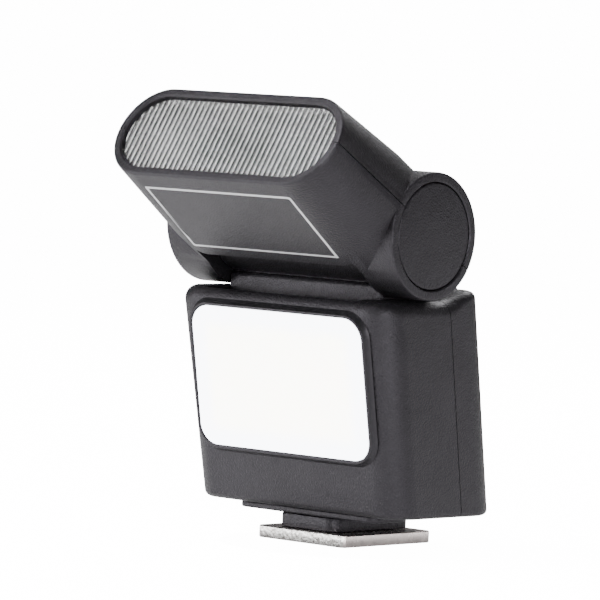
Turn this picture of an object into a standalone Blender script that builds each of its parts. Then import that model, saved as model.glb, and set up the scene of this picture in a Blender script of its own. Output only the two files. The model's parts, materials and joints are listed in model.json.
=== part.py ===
"""Compact speedlight flash: a tilting flash head on a small body with an LED panel and a hot-shoe foot.

Frame: +X to the right of someone who looks at the LED panel from behind it, -Y is the front, +Z is up.
The origin is the middle of the foot plate's underside. Lengths are in metres.
"""

import math

import bmesh
import bpy
from mathutils import Vector

mm = 0.001

# Foot and base
foot_width = 18.6 * mm
foot_length = 21.2 * mm
foot_thickness = 2.0 * mm
foot_chamfer = 0.6 * mm
foot_edge = 0.2 * mm
foot_rear_cut = 0.3 * mm
stem_width = 12.5 * mm
stem_length = 18.8 * mm
stem_corner = 2.2 * mm
plinth_bottom = 4.4 * mm
plinth_width = 29.6 * mm
plinth_length = 8.7 * mm
plinth_corner = 2.0 * mm
plinth_chamfer = 0.3 * mm
plinth_middle_y = -5.35 * mm
insulator_radius = 3.6 * mm
pin_radius = 1.1 * mm
pin_reach = 0.9 * mm
well_radius = 2.3 * mm
well_depth = 0.9 * mm
foot_screw_x = 4.3 * mm
foot_screw_y = 5.4 * mm

# Body
body_bottom = 5.6 * mm
body_top = 40.0 * mm
body_half_width_bottom = 22.0 * mm
body_half_width_top = 22.9 * mm
body_half_depth = 13.0 * mm
body_middle_y = 0.5 * mm
body_lean = math.radians(10.75)
front_corner = 5.0 * mm
rear_corner = 6.4 * mm
top_fillet = 2.6 * mm
rear_top_fillet = 1.2 * mm
rear_rise = 1.6 * mm
rise_start = 1.5 * mm
rise_end = 10.0 * mm
side_steps = 7
bottom_fillet = 1.0 * mm
wall = 1.5 * mm
seam_depth = 15.6 * mm
seam = 0.16 * mm
gap = 0.15 * mm

# LED panel
panel_width = 36.0 * mm
panel_height = 22.8 * mm
panel_corner = 3.4 * mm
panel_middle_z = 25.9 * mm
bezel_height = 1.0 * mm
bezel_lip = 0.6 * mm
bezel_draft = 0.6 * mm
led_columns = 6
led_rows = 3
led_pitch_x = 5.4 * mm
led_pitch_z = 6.0 * mm
led_half_x = 1.4 * mm
led_half_z = 1.7 * mm
led_board_inset = 2.2 * mm

# Hinge and neck
hinge_y = -9.4 * mm
hinge_z = 50.4 * mm
drum_radius = 10.1 * mm
drum_outer_x = 24.15 * mm
drum_inner_x = 16.6 * mm
cap_radius = 8.4 * mm
cap_floor_x = 22.5 * mm
cap_inner_x = 22.65 * mm
cap_outer_x = 23.9 * mm
bush_inner_x = 16.75 * mm
bush_outer_x = 18.3 * mm
neck_half_width = 16.3 * mm
neck_front = 2.8 * mm
neck_step_z = 42.5 * mm
neck_bottom_z = 36.3 * mm
barrel_radius = 8.0 * mm
axle_radius = 3.0 * mm
axle_bore = 1.9 * mm
axle_half_length = 21.4 * mm
bush_radius = 4.2 * mm
washer_radius = 5.2 * mm
clip_radius = 4.6 * mm
detent_offset = 5.6 * mm
detent_ball_radius = 0.95 * mm

# Head, in its own axes: the lens looks along -Y and the hinge axis is X through the origin
head_rest_tilt = math.radians(32.0)
head_length = 27.0 * mm
head_half_width_front = 23.4 * mm
head_half_height_front = 8.1 * mm
head_half_width_drum = 24.1 * mm
head_half_height_drum = 9.95 * mm
head_flare_y = -9.8 * mm
head_rounding = 0.5 * mm
notch_radius = 11.6 * mm
lens_inset = 0.9 * mm
lens_thickness = 1.6 * mm
sheet = 0.4 * mm
tray_front_y = -24.3 * mm
tray_back_y = -21.5 * mm
tray_mouth_half_width = 21.3 * mm
tray_mouth_half_height = 6.1 * mm
tray_floor_half_width = 19.8 * mm
tray_floor_half_height = 5.0 * mm
tray_corner_margin = 0.2 * mm
pocket_back_y = -16.3 * mm
pocket_half_width = 7.2 * mm
pocket_half_height = 3.3 * mm
pocket_corner = 1.2 * mm
reflector_steps = 3
tube_y = -19.2 * mm
tube_radius = 1.35 * mm
tube_half_length = 9.6 * mm

# Rear controls, in the axes of the rear face
button_radius = 3.0 * mm
button_spacing = 10.0 * mm
button_height = 5.5 * mm
button_travel = 0.5 * mm
switch_height = -5.5 * mm
switch_travel = 3.0 * mm
button_proud = 0.8 * mm
button_back = -3.0 * mm
plunger_clearance = 0.25 * mm
knob_half_width = 2.0 * mm
knob_half_height = 1.2 * mm
lamp_x = 9.5 * mm
port_depth = -4.9 * mm
port_height = 1.0 * mm
port_half_length = 4.45 * mm
port_half_thickness = 1.55 * mm
port_sheet = 0.35 * mm
port_mouth_inset = 0.2 * mm
port_length = 6.3 * mm
port_floor = 0.4 * mm
board_depth = 7.6 * mm
board_thickness = 1.0 * mm
cell_half_width = 12.5 * mm
capacitor_radius = 4.0 * mm
deep_y = -19.6 * mm
body_screw_x = 14.6 * mm
body_screw_z = -8.0 * mm


def clear_scene():
    for old in list(bpy.data.objects):
        bpy.data.objects.remove(old, do_unlink=True)


def finish(name, colour, roughness, metallic=0.0):
    made = bpy.data.materials.new(name)
    made.use_nodes = True
    shader = made.node_tree.nodes["Principled BSDF"]
    shader.inputs["Base Color"].default_value = (*colour, 1.0)
    shader.inputs["Roughness"].default_value = roughness
    shader.inputs["Metallic"].default_value = metallic
    return made


def pivot(name, location, tilt=0.0):
    """An empty that carries the pieces of one set of axes."""
    empty = bpy.data.objects.new(name, None)
    empty.location = location
    empty.rotation_euler = (tilt, 0.0, 0.0)
    bpy.context.scene.collection.objects.link(empty)
    return empty


def add(name, shape, material=None, parent=None, location=(0, 0, 0)):
    """One object from a bmesh, in its parent's axes."""
    mesh = bpy.data.meshes.new(name)
    shape.to_mesh(mesh)
    shape.free()
    mesh.shade_smooth()
    mesh.set_sharp_from_angle(angle=math.radians(28))
    made = bpy.data.objects.new(name, mesh)
    made.parent = parent
    made.location = location
    if material:
        mesh.materials.append(material)
    bpy.context.scene.collection.objects.link(made)
    return made


def cutter(name, shape, parent=None, location=(0, 0, 0)):
    made = add(name, shape, None, parent, location)
    made.hide_render = True
    made.display_type = "WIRE"
    return made


def combine(target, other, operation):
    step = target.modifiers.new(f"{operation.lower()} {other.name}", "BOOLEAN")
    step.operation = operation
    step.solver = "EXACT"
    step.object = other


def cut(target, *others):
    for other in others:
        combine(target, other, "DIFFERENCE")


def join(target, *others):
    for other in others:
        combine(target, other, "UNION")


def skin(rings, closed=False, strips=False):
    """A closed surface through rings of points. With closed, the last ring meets the first one.

    With strips, the last ring is alike on both sides of X and its end face is made of strips along X.
    """
    shape = bmesh.new()
    loops = [[shape.verts.new(point) for point in ring] for ring in rings]
    pairs = list(zip(loops, loops[1:]))
    if closed:
        pairs.append((loops[-1], loops[0]))
    for first, second in pairs:
        count = len(first)
        for i in range(count):
            j = (i + 1) % count
            shape.faces.new((first[i], first[j], second[j], second[i]))
    if not closed:
        shape.faces.new(loops[0][::-1])
        last = loops[-1]
        if strips:
            for i in range(len(last) // 2 - 1):
                shape.faces.new((last[i], last[i + 1], last[-i - 2], last[-i - 1]))
        else:
            shape.faces.new(last)
    bmesh.ops.recalc_face_normals(shape, faces=shape.faces)
    return shape


def rounded(half_a, half_b, radius, steps=5, far_radius=None):
    """A rectangle with round corners, as pairs. far_radius is for the two corners at +b."""
    far_radius = radius if far_radius is None else far_radius
    corners = (
        (1, -1, radius, -90),
        (1, 1, far_radius, 0),
        (-1, 1, far_radius, 90),
        (-1, -1, radius, 180),
    )
    points = []
    for side_a, side_b, r, start in corners:
        for i in range(steps + 1):
            turn = math.radians(start + 90 * i / steps)
            point = (
                side_a * (half_a - r) + r * math.cos(turn),
                side_b * (half_b - r) + r * math.sin(turn),
            )
            if not points or math.dist(point, points[-1]) > 1e-7:
                points.append(point)
    if math.dist(points[0], points[-1]) < 1e-7:
        points.pop()
    return points


def upright(points, z, shift_y=0.0):
    return [Vector((a, b + shift_y, z)) for a, b in points]


def facing(points, y):
    return [Vector((a, y, b)) for a, b in points]


def stadium(half_width, half_height, y, steps=7):
    return facing(rounded(half_width, half_height, half_height, steps), y)


def turned(profile, segments=32, axis="X", closed=False):
    """Turns a profile of (radius, along) pairs about an axis."""
    order = {"X": (2, 0, 1), "Y": (0, 2, 1), "Z": (0, 1, 2)}[axis]
    rings = []
    for radius, along in profile:
        ring = []
        for i in range(segments):
            turn = math.tau * i / segments
            spot = (radius * math.cos(turn), radius * math.sin(turn), along)
            ring.append(Vector(spot[k] for k in order))
        rings.append(ring)
    return skin(rings, closed)


def rod(radius, start, end, axis="X", segments=32, edge=0.0):
    """A round bar with small edge chamfers."""
    profile = [(radius, start), (radius, end)]
    if edge:
        profile = [
            (radius - edge, start),
            (radius, start + edge),
            (radius, end - edge),
            (radius - edge, end),
        ]
    return turned(profile, segments, axis)


def tube(outer, inner, start, end, axis="X", segments=32):
    profile = [(outer, start), (outer, end), (inner, end), (inner, start)]
    return turned(profile, segments, axis, closed=True)


def block(low, high, edge=0.0):
    """A box between two corners, its upright edges rounded by edge."""
    half_x = (high[0] - low[0]) / 2
    half_y = (high[1] - low[1]) / 2
    middle = Vector(((low[0] + high[0]) / 2, (low[1] + high[1]) / 2, 0))
    if edge:
        outline = rounded(half_x, half_y, edge, 3)
    else:
        outline = [(-half_x, -half_y), (half_x, -half_y), (half_x, half_y), (-half_x, half_y)]
    rings = [[point + middle for point in upright(outline, z)] for z in (low[2], high[2])]
    return skin(rings)


def merged(*shapes):
    """Shapes in one bmesh, for a cutter whose parts don't touch."""
    whole = bmesh.new()
    for shape in shapes:
        spare = bpy.data.meshes.new("spare")
        shape.to_mesh(spare)
        shape.free()
        whole.from_mesh(spare)
        bpy.data.meshes.remove(spare)
    return whole


def coil(radius, wire, turns, start, end, axis="Z", sides=6, steps=12):
    """A compression spring: a round wire that follows a helix."""
    order = {"X": (2, 0, 1), "Y": (0, 2, 1), "Z": (0, 1, 2)}[axis]
    rings = []
    count = turns * steps
    for i in range(count + 1):
        turn = math.tau * i / steps
        along = start + wire + (end - start - 2 * wire) * i / count
        ring = []
        for k in range(sides):
            round_wire = math.tau * k / sides
            reach = radius + wire * math.cos(round_wire)
            spot = (
                reach * math.cos(turn),
                reach * math.sin(turn),
                along + wire * math.sin(round_wire),
            )
            ring.append(Vector(spot[n] for n in order))
        rings.append(ring)
    return skin(rings)


def body_centre_y(z):
    return body_middle_y - math.tan(body_lean) * (z - body_bottom)


def body_outline(z, inset):
    """The body's outline as pairs, with extra points along its two sides, where the top changes height."""
    share = (z - body_bottom) / (body_top - body_bottom)
    half_width = body_half_width_bottom + (body_half_width_top - body_half_width_bottom) * share
    outline = rounded(
        half_width - inset,
        body_half_depth - inset,
        front_corner - inset,
        5,
        rear_corner - inset,
    )
    points = []
    for here, after in zip(outline, outline[1:] + outline[:1]):
        points.append(here)
        length = after[1] - here[1]
        if abs(length) > front_corner:
            points += [(here[0], here[1] + length * i / side_steps) for i in range(1, side_steps)]
    return points


def body_ring(z, inset):
    return upright(body_outline(z, inset), z, body_centre_y(z))


def top_ring(turn):
    """A ring of the top's round edge. Behind the hinge drums the top is higher and its edge is sharper."""
    inward, down = 1 - math.cos(turn), 1 - math.sin(turn)
    low = body_top - top_fillet * down
    before = body_outline(low, top_fillet * inward)
    behind = body_outline(low, rear_top_fillet * inward)
    points = []
    for near, far, edge in zip(before, behind, body_outline(low, 0.0)):
        share = min(1.0, max(0.0, (edge[1] - rise_start) / (rise_end - rise_start)))
        share = share * share * (3 - 2 * share)
        radius = top_fillet + (rear_top_fillet - top_fillet) * share
        z = body_top + rear_rise * share - radius * down
        x = near[0] + (far[0] - near[0]) * share
        y = near[1] + (far[1] - near[1]) * share + body_centre_y(z)
        points.append(Vector((x, y, z)))
    return points


def body_outside():
    rings = []
    for turn in (90, 45, 0):
        lift = bottom_fillet * (1 - math.sin(math.radians(turn)))
        inset = bottom_fillet * (1 - math.cos(math.radians(turn)))
        rings.append(body_ring(body_bottom + lift, inset))
    rings += [top_ring(math.radians(degrees)) for degrees in (0, 22.5, 45, 67.5, 90)]
    return skin(rings, strips=True)


def leaning_half(front):
    """A block that takes away all that lies behind the body's seam, or in front of it."""
    near, far = 0.5 * seam, 60 * mm
    low, high = (-near, far) if front else (-far, near)
    return block((-far, low, -far), (far, high, far))


def build_body(black, axes):
    cavity = cutter("body_cavity", skin([
        body_ring(body_bottom + wall, wall),
        body_ring(body_top - wall, wall),
    ]))
    seam_z = (body_bottom + body_top) / 2
    seam_place = Vector((0, body_centre_y(seam_z) - body_half_depth + seam_depth, seam_z))
    seam_axes = pivot("seam_axes", seam_place, body_lean)
    notch = cutter("neck_notch", block(
        (-neck_half_width - gap, hinge_y - neck_front - gap, neck_bottom_z - gap),
        (neck_half_width + gap, 30 * mm, 60 * mm),
    ))
    window = cutter("led_window", skin([
        facing(rounded(panel_width / 2 - 1.3 * mm, panel_height / 2 - 1.3 * mm, 2 * mm, 3), y)
        for y in (-3 * mm, 3 * mm)
    ]), axes["front"])
    stem_hole = cutter("base_hole", block((-5 * mm, -4 * mm, 0), (5 * mm, 4 * mm, 8 * mm)))

    front = add("body_front_shell", body_outside(), black)
    cut(front, cavity, cutter("behind_seam", leaning_half(True), seam_axes), notch, window, stem_hole)
    rear = add("body_rear_shell", body_outside(), black)
    cut(rear, cavity, cutter("before_seam", leaning_half(False), seam_axes), notch, stem_hole)

    for side, word in ((-1, "left"), (1, "right")):
        place = (side * body_screw_x, 0, body_screw_z)
        post = cutter(
            f"{word}_post", rod(1.9 * mm, -25.2 * mm, -3.2 * mm, "Y", 16), axes["rear"], place
        )
        pilot = cutter(
            f"{word}_pilot", rod(0.8 * mm, -9 * mm, 0, "Y", 12), axes["rear"], place
        )
        stepped = [
            (1.1 * mm, -2 * mm), (1.1 * mm, -0.7 * mm), (2.15 * mm, -0.7 * mm), (2.15 * mm, 2 * mm),
        ]
        clearance = cutter(f"{word}_clearance", turned(stepped, 20, "Y"), axes["rear"], place)
        join(front, post)
        cut(front, pilot)
        cut(rear, clearance)


def build_panel(black, white, board_green, axes):
    half_a, half_b = panel_width / 2, panel_height / 2
    lip_a, lip_b = half_a + bezel_lip, half_b + bezel_lip
    corner = panel_corner
    slack = 0.1 * mm
    foot = rounded(lip_a + bezel_draft, lip_b + bezel_draft, corner + bezel_lip + bezel_draft)
    lip = rounded(lip_a, lip_b, corner + bezel_lip)
    inner = rounded(half_a + slack, half_b + slack, corner + slack)
    rings = [
        facing(foot, -gap),
        facing(lip, -bezel_height),
        facing(inner, -bezel_height),
        facing(inner, -gap),
    ]
    add("panel_bezel", skin(rings, closed=True), black, axes["front"])
    plate = [facing(rounded(half_a, half_b, corner), y) for y in (-gap, -0.9 * bezel_height)]
    add("led_diffuser", skin(plate), white, axes["front"])

    board_x, board_z = half_a - led_board_inset, half_b - led_board_inset
    board = add("led_board", block(
        (-board_x, 0.9 * mm, -board_z), (board_x, 1.9 * mm, board_z)
    ), board_green, axes["front"])
    for column in range(led_columns):
        for row in range(led_rows):
            x = (column - (led_columns - 1) / 2) * led_pitch_x
            z = (row - (led_rows - 1) / 2) * led_pitch_z
            chip = cutter(f"led_{column}_{row}", block(
                (x - led_half_x, 0.2 * mm, z - led_half_z), (x + led_half_x, 1.2 * mm, z + led_half_z)
            ), axes["front"])
            join(board, chip)


def neck_profile():
    """The neck's side view: a low step at the front, the barrel round the axle, and a slope to the rear."""
    front = hinge_y - neck_front
    points = [(front, neck_bottom_z), (front, neck_step_z - 0.6 * mm), (front + 0.6 * mm, neck_step_z)]
    for degrees in range(15, 256, 12):
        turn = math.radians(degrees)
        points.append((
            hinge_y - barrel_radius * math.sin(turn),
            hinge_z - barrel_radius * math.cos(turn),
        ))
    top = body_top + 2.4 * mm
    shoulder = body_centre_y(top) + body_half_depth
    points.append((shoulder - 1.2 * mm, top + 0.4 * mm))
    points.append((shoulder - 0.2 * mm, top - 0.8 * mm))
    points.append((body_centre_y(neck_bottom_z) + body_half_depth, neck_bottom_z))
    return points


def build_neck(black, steel, hinge_axes):
    profile = neck_profile()
    rings = [[Vector((x, y, z)) for y, z in profile] for x in (-neck_half_width, neck_half_width)]
    neck = add("neck_block", skin(rings), black)
    pocket = cutter("neck_pocket", block(
        (-12 * mm, hinge_y - 0.5 * mm, neck_bottom_z - mm), (12 * mm, hinge_y + 10 * mm, 45 * mm)
    ))
    bore = cutter("axle_bore", rod(axle_radius + 0.1 * mm, -30 * mm, 30 * mm), hinge_axes)
    ball_hole = cutter(
        "ball_hole", rod(1.1 * mm, 11 * mm, 18 * mm, "X", 20), hinge_axes, (0, 0, detent_offset)
    )
    cut(neck, pocket, bore, ball_hole)

    add("hinge_axle", tube(axle_radius, axle_bore, -axle_half_length, axle_half_length), steel, hinge_axes)
    ball = bmesh.new()
    bmesh.ops.create_icosphere(ball, subdivisions=2, radius=detent_ball_radius)
    add("detent_ball", ball, steel, hinge_axes, (15.85 * mm, 0, detent_offset))
    spring = coil(0.75 * mm, 0.15 * mm, 4, 11.2 * mm, 14.7 * mm, "X", 5, 10)
    add("detent_spring", spring, steel, hinge_axes, (0, 0, detent_offset))
    for side, word in ((-1, "left"), (1, "right")):
        washer = [side * 18.55 * mm, side * 19.0 * mm]
        clip = [side * 19.3 * mm, side * 20.0 * mm]
        inner = axle_radius + 0.1 * mm
        add(f"{word}_friction_washer", tube(washer_radius, inner, *sorted(washer)), steel, hinge_axes)
        add(f"{word}_retaining_clip", tube(clip_radius, inner, *sorted(clip)), steel, hinge_axes)


def head_outside():
    stations = (
        (-head_length, head_half_width_front, head_half_height_front, head_rounding),
        (-head_length + 0.15 * mm, head_half_width_front, head_half_height_front, 0.15 * mm),
        (-head_length + head_rounding, head_half_width_front, head_half_height_front, 0.0),
        (head_flare_y, head_half_width_drum, head_half_height_drum - 0.1 * mm, 0.0),
        (-1.5 * mm, head_half_width_drum, head_half_height_drum, 0.0),
    )
    return skin([stadium(width - inset, height - inset, y) for y, width, height, inset in stations])


def build_head_shells(black, head_axes):
    edge = 0.3 * mm
    drums = []
    for side, word in ((-1, "left"), (1, "right")):
        profile = [
            (drum_radius, side * (drum_inner_x - mm)),
            (drum_radius, side * (drum_outer_x - edge)),
            (drum_radius - edge, side * drum_outer_x),
        ]
        drums.append(cutter(f"{word}_drum", turned(profile, 48), head_axes))
    notch = cutter("head_notch", rod(notch_radius, -drum_inner_x, drum_inner_x, "X", 48), head_axes)
    mouth = (head_half_width_front - wall, head_half_height_front - wall)
    cavity = cutter("head_cavity", skin([
        stadium(*mouth, -head_length - mm),
        stadium(*mouth, -head_length + 3 * mm),
        stadium(head_half_width_drum - 1.8 * mm, head_half_height_drum - 2.4 * mm, -13.3 * mm),
    ]), head_axes)
    hollows = []
    for side, word in ((-1, "left"), (1, "right")):
        recess = sorted((side * cap_floor_x, side * 25 * mm))
        room = sorted((side * bush_outer_x, side * (cap_floor_x + 0.1 * mm)))
        seat = sorted((side * 16.0 * mm, side * (bush_outer_x + 0.1 * mm)))
        hollows.append(cutter(f"{word}_cap_recess", rod(cap_radius + gap, *recess, "X", 48), head_axes))
        hollows.append(cutter(f"{word}_drum_room", rod(7.2 * mm, *room, "X", 36), head_axes))
        hollows.append(cutter(f"{word}_bush_seat", rod(bush_radius + 0.1 * mm, *seat, "X", 32), head_axes))
        wires = rod(1.4 * mm, -14.5 * mm, -6 * mm, "Y", 16)
        hollows.append(cutter(f"{word}_wire_way", wires, head_axes, (side * 20.4 * mm, 0, 0)))
    track = tube(detent_offset + 1.2 * mm, detent_offset - 1.1 * mm, 16.0 * mm, 17.2 * mm, "X", 36)
    hollows.append(cutter("detent_track", track, head_axes))

    far = 60 * mm
    halves = (
        ("head_upper_shell", (-far, -far, -far), (far, far, 0.5 * seam)),
        ("head_lower_shell", (-far, -far, -0.5 * seam), (far, far, far)),
    )
    for name, low, high in halves:
        shell = add(name, head_outside(), black, head_axes)
        join(shell, *drums)
        away = cutter(f"{name}_other_half", block(low, high), head_axes)
        cut(shell, notch, cavity, *hollows, away)


def tray_outline(half_width, half_height, inset):
    half_height -= inset
    return rounded(half_width - inset, half_height, half_height - tray_corner_margin, reflector_steps)


def build_head_parts(black, clear, silver, glass, rubber, board_green, brass, head_axes):
    build_head_shells(black, head_axes)
    lens_half = (head_half_width_front - wall - gap, head_half_height_front - wall - gap)
    lens_front = -head_length + lens_inset
    lens = [stadium(*lens_half, y) for y in (lens_front, lens_front + lens_thickness)]
    add("flash_lens", skin(lens), clear, head_axes)

    pocket = rounded(pocket_half_width, pocket_half_height, pocket_corner, reflector_steps)
    pocket_outside = rounded(
        pocket_half_width + sheet, pocket_half_height + sheet, pocket_corner + sheet, reflector_steps
    )
    cup = [
        facing(pocket, pocket_back_y - sheet),
        facing(pocket, tray_back_y - sheet),
        facing(tray_outline(tray_floor_half_width, tray_floor_half_height, sheet), tray_back_y - sheet),
        facing(tray_outline(tray_mouth_half_width, tray_mouth_half_height, sheet), tray_front_y),
        facing(tray_outline(tray_mouth_half_width, tray_mouth_half_height, 0.0), tray_front_y),
        facing(tray_outline(tray_floor_half_width, tray_floor_half_height, 0.0), tray_back_y),
        facing(pocket_outside, tray_back_y),
        facing(pocket_outside, pocket_back_y),
    ]
    reflector = add("reflector", skin(cup), silver, head_axes)
    tube_place = (0, tube_y, 0)
    hole_radius = tube_radius + 0.25 * mm
    cut(reflector, cutter("tube_holes", rod(hole_radius, -9 * mm, 9 * mm, "X", 20), head_axes, tube_place))
    bulb = rod(tube_radius, -tube_half_length, tube_half_length, "X", 24, 0.2 * mm)
    add("flash_tube", bulb, glass, head_axes, tube_place)
    for side, word in ((-1, "left"), (1, "right")):
        boot = [
            (1.5 * mm, side * 9.8 * mm),
            (1.5 * mm, side * 7.9 * mm),
            (2.1 * mm, side * 7.9 * mm),
            (2.1 * mm, side * 10.8 * mm),
        ]
        add(f"{word}_tube_boot", turned(boot, 20), rubber, head_axes, tube_place)
        cap = sorted((side * cap_inner_x, side * cap_outer_x))
        add(f"{word}_hinge_cap", rod(cap_radius, *cap, "X", 48, 0.15 * mm), black, head_axes)
        bush = sorted((side * bush_inner_x, side * bush_outer_x))
        add(f"{word}_hinge_bush", tube(bush_radius, axle_radius + 0.08 * mm, *bush), brass, head_axes)
    add("trigger_board", block(
        (-9 * mm, -15.2 * mm, -3.8 * mm), (9 * mm, -14.2 * mm, 3.8 * mm)
    ), board_green, head_axes)


def build_power(board_green, blue, silver, core_grey, rear):
    board_rear = -board_depth + board_thickness
    board = add("main_circuit_board", block(
        (-14.3 * mm, -board_depth, -5 * mm), (14.3 * mm, board_rear, 11 * mm)
    ), board_green, rear)
    join(board, cutter("board_tongue", block(
        (-12.3 * mm, -board_depth, -12 * mm), (12.3 * mm, board_rear, -4 * mm)
    ), rear))
    add("lithium_cell", block(
        (-cell_half_width, -15.0 * mm, -10.5 * mm), (cell_half_width, -8.2 * mm, 8.5 * mm), 1.6 * mm
    ), silver, rear)
    r = capacitor_radius
    can = [
        (r - 0.6 * mm, -13 * mm), (r, -12.6 * mm), (r, -10.6 * mm), (r - 0.4 * mm, -10.2 * mm),
        (r, -9.8 * mm), (r, 12.7 * mm), (r - 0.3 * mm, 13 * mm),
    ]
    add("photoflash_capacitor", turned(can, 28), blue, rear, (0, deep_y, 6.5 * mm))
    transformer_place = (-6.5 * mm, deep_y, -5.5 * mm)
    core = add("step_up_transformer", block(
        (-5 * mm, -3.6 * mm, -4 * mm), (5 * mm, 3.6 * mm, -2.2 * mm)
    ), core_grey, rear, transformer_place)
    for word, shape in (
        ("winding", rod(3.3 * mm, -3 * mm, 3 * mm, "Z", 24)),
        ("core_top", block((-5 * mm, -3.6 * mm, 2.2 * mm), (5 * mm, 3.6 * mm, 4 * mm))),
        ("core_legs", merged(
            block((-5 * mm, -3.6 * mm, -3 * mm), (-4 * mm, 3.6 * mm, 3 * mm)),
            block((4 * mm, -3.6 * mm, -3 * mm), (5 * mm, 3.6 * mm, 3 * mm)),
        )),
    ):
        join(core, cutter(word, shape, rear, transformer_place))


def port_ring(x, inset):
    half_a, half_b = port_half_thickness - inset, port_half_length - inset
    return [Vector((x, a, b)) for a, b in rounded(half_a, half_b, half_a - 0.01 * mm, 4)]


def build_port(steel, rear_shell, rear):
    place = (0, port_depth, port_height)
    mouth = -body_half_width_bottom + port_mouth_inset
    add("charging_port", skin([
        port_ring(mouth + port_length - port_floor, port_sheet),
        port_ring(mouth, port_sheet),
        port_ring(mouth, 0.0),
        port_ring(mouth + port_length, 0.0),
    ]), steel, rear, place)
    hole = skin([port_ring(x, -gap) for x in (mouth - 3.5 * mm, mouth + 2.5 * mm)])
    cut(rear_shell, cutter("port_hole", hole, rear, place))


def build_controls(steel, control, lamp, rear_shell, rear):
    board_rear = -board_depth + board_thickness
    plunger_top = button_back - button_travel - plunger_clearance
    for word, x in (("dimmer", -button_spacing), ("test", 0.0), ("brighter", button_spacing)):
        place = (x, 0, button_height)
        hole = cutter(f"{word}_hole", rod(button_radius + gap, -3 * mm, 3 * mm, "Y", 32), rear, place)
        cut(rear_shell, hole)
        flange, flange_front = button_radius + 0.8 * mm, button_back + 0.7 * mm
        button = [
            (flange, button_back), (flange, flange_front), (button_radius, flange_front),
            (button_radius, button_proud - 0.3 * mm), (button_radius - 0.3 * mm, button_proud),
        ]
        add(f"{word}_button", turned(button, 32, "Y"), control, rear, place)
        dome = add(f"{word}_tact_switch", block(
            (-2.3 * mm, board_rear + gap, -2.3 * mm), (2.3 * mm, -4.6 * mm, 2.3 * mm)
        ), steel, rear, place)
        plunger = rod(1.1 * mm, -5 * mm, plunger_top, "Y", 16)
        join(dome, cutter(f"{word}_plunger", plunger, rear, place))

    slot_half = knob_half_width + switch_travel / 2 + gap
    slot = cutter("switch_slot", skin([
        facing(rounded(slot_half, knob_half_height + gap, 0.6 * mm, 3), y) for y in (-3 * mm, 3 * mm)
    ]), rear, (0, 0, switch_height))
    cut(rear_shell, slot)
    knob_place = (-switch_travel / 2, 0, switch_height)
    knob_outline = rounded(knob_half_width, knob_half_height, 0.5 * mm, 3)
    knob = add("power_switch", skin([
        facing(knob_outline, y) for y in (-2.6 * mm, 0.9 * mm)
    ]), control, rear, knob_place)
    join(knob, cutter("switch_plate", block(
        (-3.6 * mm, -2.9 * mm, -2.1 * mm), (3.6 * mm, -2.0 * mm, 2.1 * mm)
    ), rear, knob_place))

    lamp_place = (lamp_x, 0, switch_height)
    cut(rear_shell, cutter("lamp_hole", rod(1.15 * mm, -3 * mm, 3 * mm, "Y", 20), rear, lamp_place))
    pipe = [(1.7 * mm, -2.6 * mm), (1.7 * mm, -1.7 * mm), (1.0 * mm, -1.7 * mm), (1.0 * mm, 0.1 * mm)]
    add("pilot_lamp", turned(pipe, 20, "Y"), lamp, rear, lamp_place)


def build_body_screws(steel, rear):
    for side, word in ((-1, "left"), (1, "right")):
        place = (side * body_screw_x, 0, body_screw_z)
        screw = [(0.7 * mm, -6.5 * mm), (0.7 * mm, -0.55 * mm), (1.9 * mm, -0.55 * mm), (1.8 * mm, 0.0)]
        body_screw = add(f"{word}_body_screw", turned(screw, 20, "Y"), steel, rear, place)
        drive = cross_slots(0.28 * mm, 1.1 * mm, -0.35 * mm, mm, "Y")
        cut(body_screw, cutter(f"{word}_drive", drive, rear, place))


def cross_slots(half_slot, reach, low, high, axis):
    """A cross recess as one star-shaped prism along Y or Z."""
    corners = [
        (reach, -half_slot), (reach, half_slot), (half_slot, half_slot), (half_slot, reach),
        (-half_slot, reach), (-half_slot, half_slot), (-reach, half_slot), (-reach, -half_slot),
        (-half_slot, -half_slot), (-half_slot, -reach), (half_slot, -reach), (half_slot, -half_slot),
    ]
    if axis == "Y":
        return skin([facing(corners, level) for level in (low, high)])
    return skin([upright(corners, level) for level in (low, high)])


def plate_outline(inset):
    x, y = foot_width / 2 - inset, foot_length / 2 - inset
    c, r = foot_chamfer, foot_rear_cut
    right = [(x - c, -y), (x, -y + c), (x, y - r), (x - r, y)]
    return right + [(-a, b) for a, b in reversed(right)]


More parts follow.
